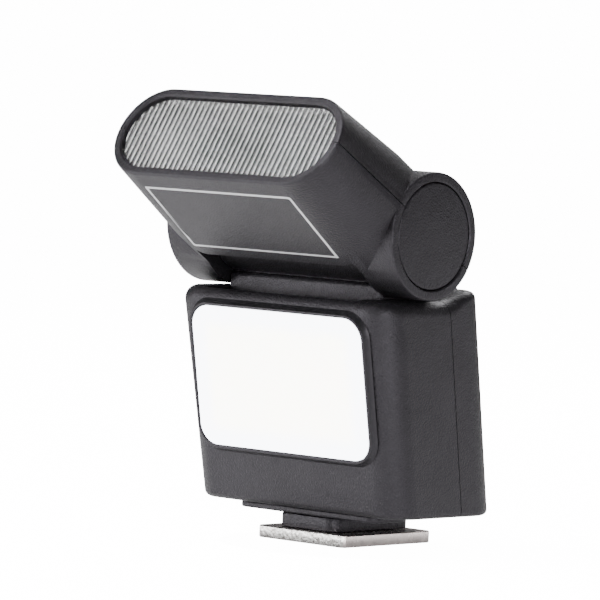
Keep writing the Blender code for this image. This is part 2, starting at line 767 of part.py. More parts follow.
def build_foot(black, nickel, steel, brass, insulator):
    plate = add("foot_plate", skin([
        upright(plate_outline(foot_edge), 0.0),
        upright(plate_outline(0.0), foot_edge),
        upright(plate_outline(0.0), foot_thickness - foot_edge),
        upright(plate_outline(foot_edge), foot_thickness),
    ]), nickel)
    cut(plate, cutter("insulator_hole", rod(insulator_radius + 0.1 * mm, -mm, 4 * mm, "Z", 36)))

    stem_outline = rounded(stem_width / 2, stem_length / 2, stem_corner, 4)
    stem = add("foot_stem", skin([
        upright(stem_outline, z) for z in (foot_thickness + gap, plinth_bottom - gap)
    ]), black)
    cut(stem, cutter("spring_well", rod(well_radius, foot_thickness, 5 * mm, "Z", 24)))

    half_a, half_b, c = plinth_width / 2, plinth_length / 2, plinth_chamfer
    low_outline = rounded(half_a - c, half_b - c, plinth_corner - c, 4)
    outline = rounded(half_a, half_b, plinth_corner, 4)
    plinth = add("base_plinth", skin([
        upright(low_outline, plinth_bottom, plinth_middle_y),
        upright(outline, plinth_bottom + c, plinth_middle_y),
        upright(outline, body_bottom - gap, plinth_middle_y),
    ]), black)
    join(plinth, cutter("plinth_tail", skin([
        upright(stem_outline, z) for z in (plinth_bottom, body_bottom - gap)
    ])))

    disc = [
        (pin_radius + 0.15 * mm, 0.1 * mm), (insulator_radius, 0.1 * mm),
        (insulator_radius, foot_thickness), (pin_radius + 0.15 * mm, foot_thickness),
    ]
    add("contact_insulator", turned(disc, 36, "Z", closed=True), insulator)
    well_top = plinth_bottom + well_depth
    cut(plinth, cutter("spring_seat", rod(well_radius, 3 * mm, well_top, "Z", 24)))
    collar_low, collar_top = foot_thickness + 0.1 * mm, foot_thickness + 0.6 * mm
    pin = [
        (0.5 * mm, -pin_reach), (pin_radius, -pin_reach + 0.5 * mm), (pin_radius, collar_low),
        (1.9 * mm, collar_low), (1.9 * mm, collar_top),
        (0.6 * mm, collar_top), (0.6 * mm, collar_top + mm),
    ]
    add("contact_pin", turned(pin, 24, "Z"), brass)
    add("contact_spring", coil(1.35 * mm, 0.16 * mm, 4, collar_top + 0.1 * mm, well_top - 0.1 * mm), steel)

    for side_x, word_x in ((-1, "left"), (1, "right")):
        for side_y, word_y in ((-1, "front"), (1, "rear")):
            build_foot_screw(f"{word_x}_{word_y}", side_x, side_y, (plate, stem, plinth), steel)


def build_foot_screw(words, side_x, side_y, held, steel):
    place = (side_x * foot_screw_x, side_y * foot_screw_y, 0)
    room = [(1.75 * mm, -0.3 * mm), (1.75 * mm, 0.2 * mm), (0.85 * mm, 1.1 * mm), (0.85 * mm, 9 * mm)]
    sink = cutter(f"{words}_sink", turned(room, 20, "Z"), None, place)
    for piece in held:
        cut(piece, sink)
    shape = [(1.55 * mm, 0.1 * mm), (1.55 * mm, 0.2 * mm), (0.7 * mm, 1.05 * mm), (0.7 * mm, 5.2 * mm)]
    screw = add(f"{words}_foot_screw", turned(shape, 20, "Z"), steel, None, place)
    drive = cross_slots(0.24 * mm, 0.95 * mm, -mm, 0.5 * mm, "Z")
    cut(screw, cutter(f"{words}_foot_drive", drive, None, place))


def main():
    clear_scene()
    black = finish("black_plastic", (0.035, 0.033, 0.036), 0.55)
    control = finish("control_plastic", (0.05, 0.048, 0.052), 0.5)
    white = finish("white_diffuser", (0.90, 0.90, 0.92), 0.35)
    clear = finish("clear_lens", (0.85, 0.87, 0.88), 0.1)
    silver = finish("silver_foil", (0.75, 0.75, 0.76), 0.2, 1.0)
    glass = finish("tube_glass", (0.8, 0.82, 0.8), 0.05)
    rubber = finish("soft_rubber", (0.05, 0.05, 0.05), 0.8)
    board_green = finish("circuit_board", (0.03, 0.18, 0.08), 0.5)
    steel = finish("steel", (0.6, 0.6, 0.6), 0.3, 1.0)
    brass = finish("brass", (0.75, 0.55, 0.25), 0.3, 1.0)
    nickel = finish("nickel_plate", (0.70, 0.66, 0.65), 0.28, 1.0)
    blue = finish("capacitor_sleeve", (0.03, 0.03, 0.06), 0.4)
    core_grey = finish("ferrite", (0.12, 0.12, 0.13), 0.7)
    insulator = finish("insulator_plastic", (0.05, 0.05, 0.05), 0.6)
    lamp = finish("lamp_plastic", (0.8, 0.1, 0.05), 0.2)

    panel_y = body_centre_y(panel_middle_z) - body_half_depth
    rear_z = (body_bottom + body_top) / 2
    axes = {
        "front": pivot("front_face_axes", (0, panel_y, panel_middle_z), body_lean),
        "rear": pivot("rear_face_axes", (0, body_centre_y(rear_z) + body_half_depth, rear_z), body_lean),
    }
    hinge_axes = pivot("hinge_axes", (0, hinge_y, hinge_z))
    head_axes = pivot("head_axes", (0, hinge_y, hinge_z), -head_rest_tilt)

    build_body(black, axes)
    build_panel(black, white, board_green, axes)
    build_neck(black, steel, hinge_axes)
    build_head_parts(black, clear, silver, glass, rubber, board_green, brass, head_axes)
    rear_shell = bpy.data.objects["body_rear_shell"]
    build_power(board_green, blue, silver, core_grey, axes["rear"])
    build_port(steel, rear_shell, axes["rear"])
    build_controls(steel, control, lamp, rear_shell, axes["rear"])
    build_body_screws(steel, axes["rear"])
    build_foot(black, nickel, steel, brass, insulator)


main()
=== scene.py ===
import json
import math

import bmesh
import bpy
from mathutils import Matrix, Vector


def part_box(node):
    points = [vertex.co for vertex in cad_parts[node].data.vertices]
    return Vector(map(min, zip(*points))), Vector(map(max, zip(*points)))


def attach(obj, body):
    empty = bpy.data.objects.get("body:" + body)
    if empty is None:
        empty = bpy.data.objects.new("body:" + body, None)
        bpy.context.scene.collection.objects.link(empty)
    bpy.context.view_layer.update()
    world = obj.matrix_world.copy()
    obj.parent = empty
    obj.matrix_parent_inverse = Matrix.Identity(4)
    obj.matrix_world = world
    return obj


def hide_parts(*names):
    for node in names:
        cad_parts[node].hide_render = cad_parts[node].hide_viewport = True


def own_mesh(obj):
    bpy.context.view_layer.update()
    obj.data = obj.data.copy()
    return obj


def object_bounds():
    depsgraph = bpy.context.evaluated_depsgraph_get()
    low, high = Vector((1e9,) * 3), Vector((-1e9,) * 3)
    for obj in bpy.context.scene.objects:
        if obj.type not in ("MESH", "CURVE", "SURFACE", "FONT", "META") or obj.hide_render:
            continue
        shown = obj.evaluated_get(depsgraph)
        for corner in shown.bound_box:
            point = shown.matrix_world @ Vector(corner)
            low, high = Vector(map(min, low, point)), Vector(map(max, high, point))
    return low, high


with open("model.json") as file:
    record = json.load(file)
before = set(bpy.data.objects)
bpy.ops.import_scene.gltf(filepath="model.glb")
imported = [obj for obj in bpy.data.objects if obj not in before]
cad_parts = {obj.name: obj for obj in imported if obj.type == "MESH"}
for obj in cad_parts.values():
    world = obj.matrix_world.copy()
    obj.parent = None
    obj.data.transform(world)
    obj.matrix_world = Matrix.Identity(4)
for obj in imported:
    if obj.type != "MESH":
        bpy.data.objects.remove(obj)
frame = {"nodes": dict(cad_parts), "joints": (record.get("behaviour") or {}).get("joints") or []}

mm = 0.001
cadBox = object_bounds()
joints = {joint["name"]: joint for joint in frame["joints"]}
scene = bpy.context.scene

# Places that the frame gives
hinge = Vector(joints["head_tilt"]["pos_m"])
restTilt = math.radians(-joints["head_tilt"]["range_deg"][0])
pressAxis = Vector(joints["test_button_press"]["axis"])
lean = math.atan2(-pressAxis.z, -pressAxis.y)
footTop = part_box("foot_plate")[1].z
bodyLow = min(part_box(node)[0].z for node in ("body_front_shell", "body_rear_shell"))
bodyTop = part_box("body_front_shell")[1].z
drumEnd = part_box("head_upper_shell")[1].x
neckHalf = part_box("neck_block")[1].x

body = {
    "halfWidthLow": 22.0 * mm, "halfWidthTop": 22.9 * mm, "halfDepth": 12.98 * mm, "middleY": 0.5 * mm,
    "frontCorner": 5.0 * mm, "rearCorner": 6.4 * mm, "topFillet": 2.6 * mm, "lowFillet": 1.0 * mm,
    "wall": 1.5 * mm, "seamBehindFront": 15.6 * mm, "seamGap": 0.16 * mm, "gap": 0.15 * mm,
    "rearTopFillet": 1.2 * mm, "rearRise": 1.58 * mm, "riseStart": 1.5 * mm, "riseEnd": 10.0 * mm,
}


def bodyCentreY(z):
    return body["middleY"] - math.tan(lean) * (z - bodyLow)


def leaningPlace(z, side):
    y = bodyCentreY(z) + side * body["halfDepth"]
    return Matrix.Translation((0, y, z)) @ Matrix.Rotation(lean, 4, "X")


panelMiddle = 25.9 * mm
frontFace = leaningPlace(panelMiddle, -1)
rearFace = leaningPlace((bodyLow + bodyTop) / 2, 1)
headPlace = Matrix.Translation(hinge) @ Matrix.Rotation(-restTilt, 4, "X")
hingePlace = Matrix.Translation(hinge)


# Mesh helpers

def skin(rings, closed=False, strips=False):
    shape = bmesh.new()
    loops = [[shape.verts.new(point) for point in ring] for ring in rings]
    pairs = list(zip(loops, loops[1:])) + ([(loops[-1], loops[0])] if closed else [])
    for first, second in pairs:
        for i in range(len(first)):
            j = (i + 1) % len(first)
            shape.faces.new((first[i], first[j], second[j], second[i]))
    if not closed:
        shape.faces.new(loops[0][::-1])
        last = loops[-1]
        if strips:
            for i in range(len(last) // 2 - 1):
                shape.faces.new((last[i], last[i + 1], last[-i - 2], last[-i - 1]))
        else:
            shape.faces.new(last)
    bmesh.ops.recalc_face_normals(shape, faces=shape.faces)
    return shape


def rounded(halfA, halfB, radius, steps=12, farRadius=None):
    farRadius = radius if farRadius is None else farRadius
    corners = ((1, -1, radius, -90), (1, 1, farRadius, 0), (-1, 1, farRadius, 90), (-1, -1, radius, 180))
    points = []
    for a, b, r, start in corners:
        for i in range(steps + 1):
            turn = math.radians(start + 90 * i / steps)
            point = (a * (halfA - r) + r * math.cos(turn), b * (halfB - r) + r * math.sin(turn))
            if not points or math.dist(point, points[-1]) > 1e-7:
                points.append(point)
    if math.dist(points[0], points[-1]) < 1e-7:
        points.pop()
    return points


def upright(points, z, shiftY=0.0):
    return [Vector((a, b + shiftY, z)) for a, b in points]


def facing(points, y):
    return [Vector((a, y, b)) for a, b in points]


def fillet(radius, low, high, steps):
    # (inset, along) pairs round both edges of a plate from low to high
    turns = [math.pi / 2 * i / steps for i in range(steps + 1)]
    first = [(radius * (1 - math.sin(t)), low + radius * (1 - math.cos(t))) for t in turns]
    return first + [(inset, low + high - along) for inset, along in reversed(first)]


def turned(profile, axis="X", steps=96, closed=False):
    order = {"X": (2, 0, 1), "Y": (0, 2, 1), "Z": (0, 1, 2)}[axis]
    rings = []
    for radius, along in profile:
        turns = [math.tau * i / steps for i in range(steps)]
        spots = [(radius * math.cos(t), radius * math.sin(t), along) for t in turns]
        rings.append([Vector([spot[k] for k in order]) for spot in spots])
    return skin(rings, closed)


def rod(radius, start, end, axis="X", steps=96, edge=0.0):
    if not edge:
        return turned([(radius, start), (radius, end)], axis, steps)
    return turned([(radius - inset, along) for inset, along in fillet(edge, start, end, 4)], axis, steps)


def slab(low, high):
    corners = [(low[0], low[1]), (high[0], low[1]), (high[0], high[1]), (low[0], high[1])]
    return skin([upright(corners, z) for z in (low[2], high[2])])


def makeObject(name, shape, place=Matrix()):
    mesh = bpy.data.meshes.new(name)
    shape.to_mesh(mesh)
    shape.free()
    mesh.transform(place)
    made = bpy.data.objects.new(name, mesh)
    scene.collection.objects.link(made)
    return made


def settle(made):
    # The object's modifiers become plain mesh
    bpy.context.view_layer.update()
    graph = bpy.context.evaluated_depsgraph_get()
    mesh = bpy.data.meshes.new_from_object(made.evaluated_get(graph))
    made.modifiers.clear()
    made.data = mesh
    return made


def carve(made, cutters, operation="DIFFERENCE"):
    for other in cutters:
        step = made.modifiers.new("cut", "BOOLEAN")
        step.operation = operation
        step.solver = "EXACT"
        step.object = other
    return settle(made)


def discard(*objects):
    for old in objects:
        bpy.data.objects.remove(old, do_unlink=True)


def softEdges(made, width, steps=3, angle=40):
    bevel = made.modifiers.new("edges", "BEVEL")
    bevel.width = width
    bevel.segments = steps
    bevel.limit_method = "ANGLE"
    bevel.angle_limit = math.radians(angle)
    bevel.use_clamp_overlap = False
    return settle(made)


def joined(name, parts):
    whole = bmesh.new()
    for part in parts:
        whole.from_mesh(part.data)
    discard(*parts)
    return makeObject(name, whole)


def finishPiece(made, bodyName, material, nodes=(), sharp=32):
    made.data.materials.clear()
    made.data.materials.append(material)
    made.data.shade_smooth()
    made.data.set_sharp_from_angle(angle=math.radians(sharp))
    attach(made, bodyName)
    if nodes:
        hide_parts(*nodes)
    return made


# Node helpers

def wire(tree, kind, inputs=None, **settings):
    node = tree.nodes.new(kind)
    for key, value in settings.items():
        setattr(node, key, value)
    for key, value in (inputs or {}).items():
        if isinstance(value, bpy.types.NodeSocket):
            tree.links.new(value, node.inputs[key])
        else:
            node.inputs[key].default_value = value
    return node


def maths(tree, operation, first, second=0.0, third=0.0, clamp=False):
    values = {0: first, 1: second, 2: third}
    return wire(tree, "ShaderNodeMath", values, operation=operation, use_clamp=clamp).outputs[0]


def blendColour(tree, factor, first, second):
    return wire(tree, "ShaderNodeMix", {0: factor, 6: first, 7: second}, data_type="RGBA").outputs[2]


def spread(tree, value, low, high, toLow=0.0, toHigh=1.0):
    inputs = {0: value, 1: low, 2: high, 3: toLow, 4: toHigh}
    return wire(tree, "ShaderNodeMapRange", inputs).outputs[0]


def openTree(name, kind, inputs, outputs):
    tree = bpy.data.node_groups.new(name, kind)
    for label, socketType, default in inputs:
        socket = tree.interface.new_socket(label, in_out="INPUT", socket_type="NodeSocket" + socketType)
        if default is not None:
            socket.default_value = default
    for label, socketType in outputs:
        tree.interface.new_socket(label, in_out="OUTPUT", socket_type="NodeSocket" + socketType)
    return tree, tree.nodes.new("NodeGroupInput").outputs, tree.nodes.new("NodeGroupOutput").inputs


def paint(tree, group, **values):
    node = tree.nodes.new("ShaderNodeGroup")
    node.node_tree = group
    for label, value in values.items():
        if isinstance(value, bpy.types.NodeSocket):
            tree.links.new(value, node.inputs[label])
        else:
            node.inputs[label].default_value = value
    return node.outputs


# Shared surface effects

def buildMouldGrain():
    inputs = (("Vector", "Vector", None), ("Size", "Float", 0.3 * mm))
    tree, given, out = openTree("mouldGrain", "ShaderNodeTree", inputs, (("Height", "Float"), ("Shade", "Float")))
    scale = maths(tree, "DIVIDE", 1.0, given["Size"])
    fine = wire(tree, "ShaderNodeTexNoise", {"Vector": given["Vector"], "Scale": scale, "Detail": 3.0})
    cells = wire(tree, "ShaderNodeTexVoronoi", {"Vector": given["Vector"], "Scale": scale}, feature="SMOOTH_F1")
    pits = maths(tree, "MULTIPLY", cells.outputs["Distance"], 0.55)
    tree.links.new(maths(tree, "ADD", maths(tree, "MULTIPLY", fine.outputs[0], 0.6), pits), out["Height"])
    wide = maths(tree, "MULTIPLY", scale, 0.03)
    cloud = wire(tree, "ShaderNodeTexNoise", {"Vector": given["Vector"], "Scale": wide, "Detail": 4.0})
    tree.links.new(spread(tree, cloud.outputs[0], 0.35, 0.65), out["Shade"])
    return tree


def buildEdgeWear():
    inputs = (("Vector", "Vector", None), ("Radius", "Float", 0.3 * mm), ("Amount", "Float", 1.0))
    tree, given, out = openTree("edgeWear", "ShaderNodeTree", inputs, (("Mask", "Float"),))
    bevel = wire(tree, "ShaderNodeBevel", {"Radius": given["Radius"]}, samples=4)
    plain = tree.nodes.new("ShaderNodeNewGeometry").outputs["Normal"]
    turn = wire(tree, "ShaderNodeVectorMath", {0: bevel.outputs[0], 1: plain}, operation="DOT_PRODUCT")
    edge = spread(tree, turn.outputs["Value"], 0.995, 0.85)
    rub = wire(tree, "ShaderNodeTexNoise", {"Vector": given["Vector"], "Scale": 900.0, "Detail": 5.0})
    mask = maths(tree, "MULTIPLY", edge, spread(tree, rub.outputs[0], 0.42, 0.62))
    tree.links.new(maths(tree, "MULTIPLY", mask, given["Amount"], clamp=True), out["Mask"])
    return tree


def buildDust():
    inputs = (("Vector", "Vector", None), ("Amount", "Float", 0.2))
    tree, given, out = openTree("dust", "ShaderNodeTree", inputs, (("Mask", "Float"),))
    normal = tree.nodes.new("ShaderNodeNewGeometry").outputs["Normal"]
    up = wire(tree, "ShaderNodeSeparateXYZ", {0: normal}).outputs[2]
    specks = wire(tree, "ShaderNodeTexNoise", {"Vector": given["Vector"], "Scale": 2200.0, "Detail": 6.0})
    mask = maths(tree, "MULTIPLY", spread(tree, up, 0.2, 1.0), spread(tree, specks.outputs[0], 0.55, 0.75))
    tree.links.new(maths(tree, "MULTIPLY", mask, given["Amount"]), out["Mask"])
    return tree


def buildStreaks():
    inputs = (("Vector", "Vector", None), ("Stretch", "Vector", (1.0, 1.0, 30.0)), ("Scale", "Float", 400.0))
    tree, given, out = openTree("streaks", "ShaderNodeTree", inputs, (("Value", "Float"),))
    moved = wire(tree, "ShaderNodeVectorMath", {0: given["Vector"], 1: given["Stretch"]}, operation="MULTIPLY")
    lines = wire(tree, "ShaderNodeTexNoise", {"Vector": moved.outputs[0], "Scale": given["Scale"], "Detail": 4.0})
    tree.links.new(lines.outputs[0], out["Value"])
    return tree


mouldGrain, edgeWear, dust, streaks = buildMouldGrain(), buildEdgeWear(), buildDust(), buildStreaks()


def startMaterial(name, roughness=0.5, metallic=0.0):
    material = bpy.data.materials.new(name)
    material.use_nodes = True
    tree = material.node_tree
    shader = tree.nodes["Principled BSDF"]
    shader.inputs["Roughness"].default_value = roughness
    shader.inputs["Metallic"].default_value = metallic
    return material, tree, shader.inputs, tree.nodes.new("ShaderNodeTexCoord").outputs["Object"]


def bump(tree, sockets, height, depth, strength=1.0):
    inputs = {"Height": height, "Distance": depth, "Strength": strength}
    tree.links.new(wire(tree, "ShaderNodeBump", inputs).outputs[0], sockets["Normal"])


def mouldedPlastic(name, dark, light, roughness=(0.42, 0.6), grain=0.27 * mm, depth=0.12 * mm, wear=0.3):
    material, tree, sockets, place = startMaterial(name)
    surface = paint(tree, mouldGrain, Vector=place, Size=grain)
    rub = paint(tree, edgeWear, Vector=place, Radius=0.35 * mm, Amount=wear)["Mask"]
    settled = paint(tree, dust, Vector=place, Amount=0.12)["Mask"]
    speckle = spread(tree, surface["Height"], 0.32, 0.72)
    shade = maths(tree, "MULTIPLY_ADD", surface["Shade"], 0.4, maths(tree, "MULTIPLY", speckle, 0.6))
    colour = blendColour(tree, shade, (*dark, 1), (*light, 1))
    colour = blendColour(tree, rub, colour, (*[c * 2.4 for c in light], 1))
    colour = blendColour(tree, settled, colour, (0.35, 0.34, 0.33, 1))
    tree.links.new(colour, sockets["Base Color"])
    rough = spread(tree, surface["Height"], 0.3, 0.75, *roughness)
    tree.links.new(maths(tree, "ADD", rough, maths(tree, "MULTIPLY", settled, 0.5), clamp=True), sockets["Roughness"])
    # Painted tint on the reflections: purple, standing in for the colour of the light
    sockets["Specular Tint"].default_value = (0.95, 0.9, 1.0, 1)
    bump(tree, sockets, surface["Height"], depth)
    return material


def workedMetal(name, colour, roughness=(0.2, 0.35), stretch=(1, 1, 30), scale=400.0, depth=0.006 * mm, wear=0.3):
    material, tree, sockets, place = startMaterial(name, metallic=1.0)
    lines = paint(tree, streaks, Vector=place, Stretch=stretch, Scale=scale)["Value"]
    rub = paint(tree, edgeWear, Vector=place, Radius=0.15 * mm, Amount=wear)["Mask"]
    base = blendColour(tree, spread(tree, lines, 0.3, 0.7), (*[c * 0.86 for c in colour], 1), (*colour, 1))
    tree.links.new(blendColour(tree, rub, base, (*[min(1, c * 1.15) for c in colour], 1)), sockets["Base Color"])
    tree.links.new(spread(tree, lines, 0.3, 0.7, *roughness), sockets["Roughness"])
    bump(tree, sockets, lines, depth)
    return material


def platedFoot():
    # Nickel plate whose front edge is left rough, as it was sheared
    material, tree, sockets, place = startMaterial("nickelPlate", metallic=1.0)
    lines = paint(tree, streaks, Vector=place, Stretch=(3.0, 3.0, 0.8), Scale=300.0)["Value"]
    front = wire(tree, "ShaderNodeSeparateXYZ", {0: place}).outputs[1]
    sheared = spread(tree, front, -10.2 * mm, -10.45 * mm)
    lumps = wire(tree, "ShaderNodeTexNoise", {"Vector": place, "Scale": 1900.0, "Detail": 4.0})
    dents = spread(tree, lumps.outputs[0], 0.35, 0.65)
    colour = blendColour(tree, spread(tree, lines, 0.3, 0.7), (0.58, 0.52, 0.51, 1), (0.7, 0.63, 0.61, 1))
    pale = blendColour(tree, dents, (0.3, 0.28, 0.27, 1), (0.95, 0.93, 0.91, 1))
    tree.links.new(blendColour(tree, sheared, colour, pale), sockets["Base Color"])
    tree.links.new(spread(tree, lines, 0.3, 0.7, 0.22, 0.34), sockets["Roughness"])
    height = maths(tree, "MULTIPLY_ADD", maths(tree, "MULTIPLY", lumps.outputs[0], sheared), 12.0, lines)
    bump(tree, sockets, height, 0.005 * mm)
    return material


def opalPanel():
    # Opal sheet with a printed white border and a faintly warm field where the chips sit behind it; the whole sheet
    # glows with painted light
    field = {"halfWidth": 15.0 * mm, "halfHeight": 8.6 * mm, "soft": 0.9 * mm}
    material, tree, sockets, place = startMaterial("opalDiffuserPaintedGlow", 0.28)
    turn = {"Vector": place, "Rotation": (-lean, 0, 0)}
    inAxes = wire(tree, "ShaderNodeMapping", turn, vector_type="POINT")
    middle = Matrix.Rotation(-lean, 4, "X") @ frontFace.translation
    inAxes.inputs["Location"].default_value = (0, -middle.y, -middle.z)
    axes = wire(tree, "ShaderNodeSeparateXYZ", {0: inAxes.outputs[0]}).outputs
    inside = []
    for axis, half in ((0, field["halfWidth"]), (2, field["halfHeight"])):
        reach = maths(tree, "ABSOLUTE", axes[axis])
        inside.append(spread(tree, reach, half + field["soft"], half - field["soft"]))
    mask = maths(tree, "MULTIPLY", *inside)
    chips = wire(tree, "ShaderNodeTexVoronoi", {"Vector": inAxes.outputs[0], "Scale": 185.0}, feature="F1")
    glow = maths(tree, "MULTIPLY", mask, spread(tree, chips.outputs["Distance"], 0.7, 0.0, 0.75, 1.0))
    cloud = paint(tree, mouldGrain, Vector=place, Size=0.5 * mm)
    warm = blendColour(tree, glow, (0.88, 0.9, 0.97, 1), (1.0, 0.965, 0.84, 1))
    settled = paint(tree, dust, Vector=place, Amount=0.06)["Mask"]
    colour = blendColour(tree, settled, warm, (0.6, 0.58, 0.55, 1))
    tree.links.new(colour, sockets["Base Color"])
    tree.links.new(spread(tree, cloud["Shade"], 0, 1, 0.22, 0.34), sockets["Roughness"])
    # Painted glow: the passive sheet emits its own colour, weakly for other rays and far brighter for camera rays
    tree.links.new(colour, sockets["Emission Color"])
    seen = tree.nodes.new("ShaderNodeLightPath").outputs["Is Camera Ray"]
    tree.links.new(spread(tree, seen, 0, 1, 0.3, 9.0), sockets["Emission Strength"])
    sockets["Coat Weight"].default_value = 0.2
    bump(tree, sockets, cloud["Height"], 0.004 * mm)
    return material


def clearPlastic(name, tint, roughness, ior=1.49):
    material, tree, sockets, place = startMaterial(name, roughness)
    lines = paint(tree, mouldGrain, Vector=place, Size=0.8 * mm)
    paler = tuple(1 - (1 - c) * 0.7 for c in tint)
    tree.links.new(blendColour(tree, lines["Shade"], (*tint, 1), (*paler, 1)), sockets["Base Color"])
    tree.links.new(spread(tree, lines["Height"], 0.3, 0.8, roughness, roughness + 0.02), sockets["Roughness"])
    sockets["Transmission Weight"].default_value = 1.0
    sockets["IOR"].default_value = ior
    bump(tree, sockets, lines["Height"], 0.0004 * mm)
    return material


def ribbedPlastic():
    # Clear moulded plastic with painted shade between the ribs, painted highlights on their crests and a toothed
    # painted highlight along its rim
    half = head["halfWidth"] - head["wall"] - body["gap"]
    tall = head["halfHeight"] - head["wall"] - body["gap"]
    material, tree, sockets, place = startMaterial("ribbedLens", 0.1)
    inAxes = wire(tree, "ShaderNodeMapping", {"Vector": place, "Rotation": (restTilt, 0, 0)}, vector_type="POINT")
    middle = Matrix.Rotation(restTilt, 4, "X") @ hinge
    inAxes.inputs["Location"].default_value = (0, -middle.y, -middle.z)
    axes = wire(tree, "ShaderNodeSeparateXYZ", {0: inAxes.outputs[0]}).outputs
    turn = maths(tree, "MULTIPLY", axes[0], math.pi * ribCount / (2 * half))
    crest = maths(tree, "ABSOLUTE", maths(tree, "SINE", turn))
    reach = maths(tree, "ABSOLUTE", axes[0])
    over = maths(tree, "MAXIMUM", maths(tree, "SUBTRACT", reach, half - tall), 0.0)
    squares = maths(tree, "ADD", maths(tree, "POWER", over, 2.0), maths(tree, "POWER", axes[2], 2.0))
    rim = spread(tree, maths(tree, "SQRT", squares), tall - 0.95 * mm, tall - 0.75 * mm)
    haze = paint(tree, mouldGrain, Vector=place, Size=1.2 * mm)["Shade"]
    # Painted shade between the ribs and painted highlights on their crests
    line = blendColour(tree, spread(tree, crest, 0.15, 0.7), (0.1, 0.105, 0.11, 1), (1, 1, 1, 1))
    # Painted highlights in teeth along the rim
    paintedRimHighlight = blendColour(tree, spread(tree, crest, 0.4, 0.7), (0.3, 0.3, 0.3, 1), (1, 1, 1, 1))
    colour = blendColour(tree, maths(tree, "MULTIPLY", haze, 0.12), line, (0.9, 0.9, 0.9, 1))
    tree.links.new(blendColour(tree, rim, colour, paintedRimHighlight), sockets["Base Color"])
    tree.links.new(spread(tree, haze, 0, 1, 0.08, 0.14), sockets["Roughness"])
    sockets["Transmission Weight"].default_value = 0.88
    sockets["IOR"].default_value = 1.49
    return material


def circuitBoard():
    material, tree, sockets, place = startMaterial("solderMask", 0.35)
    tracks = wire(tree, "ShaderNodeTexBrick", {"Vector": place, "Scale": 500.0, "Mortar Size": 0.035,
                                               "Color1": (0.015, 0.12, 0.05, 1), "Color2": (0.02, 0.15, 0.06, 1),
                                               "Mortar": (0.06, 0.26, 0.11, 1)})
    pads = wire(tree, "ShaderNodeTexVoronoi", {"Vector": place, "Scale": 420.0}, feature="F1")
    pad = spread(tree, pads.outputs["Distance"], 0.16, 0.12)
    colour = blendColour(tree, pad, tracks.outputs["Color"], (0.75, 0.62, 0.3, 1))
    tree.links.new(colour, sockets["Base Color"])
    tree.links.new(pad, sockets["Metallic"])
    bump(tree, sockets, tracks.outputs["Fac"], 0.02 * mm)
    return material


def woundCoil():
    material, tree, sockets, place = startMaterial("ferriteAndWinding", 0.5)
    wave = wire(tree, "ShaderNodeTexWave", {"Vector": place, "Scale": 1400.0, "Distortion": 0.4}, bands_direction="Z")
    grain = paint(tree, mouldGrain, Vector=place, Size=0.2 * mm)
    colour = blendColour(tree, wave.outputs["Fac"], (0.1, 0.09, 0.09, 1), (0.22, 0.15, 0.08, 1))
    tree.links.new(blendColour(tree, grain["Shade"], colour, (0.14, 0.14, 0.15, 1)), sockets["Base Color"])
    bump(tree, sockets, wave.outputs["Fac"], 0.03 * mm)
    return material


def printedInk():
    material, tree, sockets, place = startMaterial("silverPrint", 0.38, 0.35)
    grain = paint(tree, mouldGrain, Vector=place, Size=0.3 * mm)
    worn = spread(tree, grain["Height"], 0.25, 0.5)
    colour = blendColour(tree, worn, (0.42, 0.42, 0.43, 1), (0.72, 0.72, 0.74, 1))
    tree.links.new(colour, sockets["Base Color"])
    bump(tree, sockets, grain["Height"], 0.02 * mm)
    return material


head = {
    "length": 26.97 * mm, "halfWidth": 23.38 * mm, "halfHeight": 8.08 * mm, "drumWidth": 24.1 * mm,
    "drumHeight": 9.95 * mm, "flareY": -9.8 * mm, "flareHeight": 9.85 * mm, "rounding": 0.5 * mm,
    "drumRadius": 10.1 * mm, "drumInner": 16.6 * mm, "notch": 11.6 * mm, "wall": 1.5 * mm,
    "cap": 8.4 * mm, "seam": 0.16 * mm, "lensInset": 0.9 * mm, "lensThickness": 1.6 * mm, "tubeY": -19.2 * mm,
}
ribCount = 41

paints = {
    "shell": mouldedPlastic("shellPlastic", (0.005, 0.0046, 0.0056), (0.018, 0.0168, 0.0195), (0.3, 0.48)),
    "control": mouldedPlastic("controlPlastic", (0.02, 0.019, 0.021), (0.03, 0.029, 0.032), (0.35, 0.5), 0.2 * mm, 0.012 * mm),
    "bezel": mouldedPlastic("bezelPlastic", (0.010, 0.0095, 0.011), (0.014, 0.0135, 0.015), (0.3, 0.45), 0.25 * mm, 0.012 * mm),
    "insulator": mouldedPlastic("insulatorPlastic", (0.012, 0.012, 0.012), (0.02, 0.02, 0.02), (0.5, 0.65)),
    "rubber": mouldedPlastic("tubeRubber", (0.02, 0.02, 0.02), (0.035, 0.034, 0.033), (0.7, 0.85), 0.4 * mm),
    "sleeve": mouldedPlastic("capacitorSleeve", (0.01, 0.01, 0.03), (0.02, 0.02, 0.05), (0.25, 0.35), 0.6 * mm, 0.01 * mm),
    "nickel": platedFoot(),
    "steel": workedMetal("turnedSteel", (0.56, 0.56, 0.57)),
    "spring": workedMetal("springWire", (0.5, 0.5, 0.52), (0.25, 0.4), (12, 12, 12), 120.0),
    "brass": workedMetal("brassContact", (0.78, 0.58, 0.28), (0.18, 0.3)),
    "foil": workedMetal("reflectorFoil", (0.82, 0.82, 0.83), (0.3, 0.4), (1, 1, 3), 160.0, 0.001 * mm),
    # A near-black foil that paints shade into the tube pocket
    "pocket": workedMetal("pocketPaintedShade", (0.05, 0.048, 0.044), (0.2, 0.35), (3, 1, 1), 500.0, 0.02 * mm),
    "cell": workedMetal("cellLaminate", (0.62, 0.62, 0.64), (0.3, 0.5), (2, 2, 2), 60.0, 0.04 * mm),
    "opal": opalPanel(),
    "lens": ribbedPlastic(),
    "tube": clearPlastic("tubeGlass", (0.96, 0.98, 0.96), 0.02, 1.47),
    "lamp": clearPlastic("lampPipe", (0.85, 0.16, 0.08), 0.15),
    "board": circuitBoard(),
    "coil": woundCoil(),
    "ink": printedInk(),
}
print("materials ready:", len(paints))


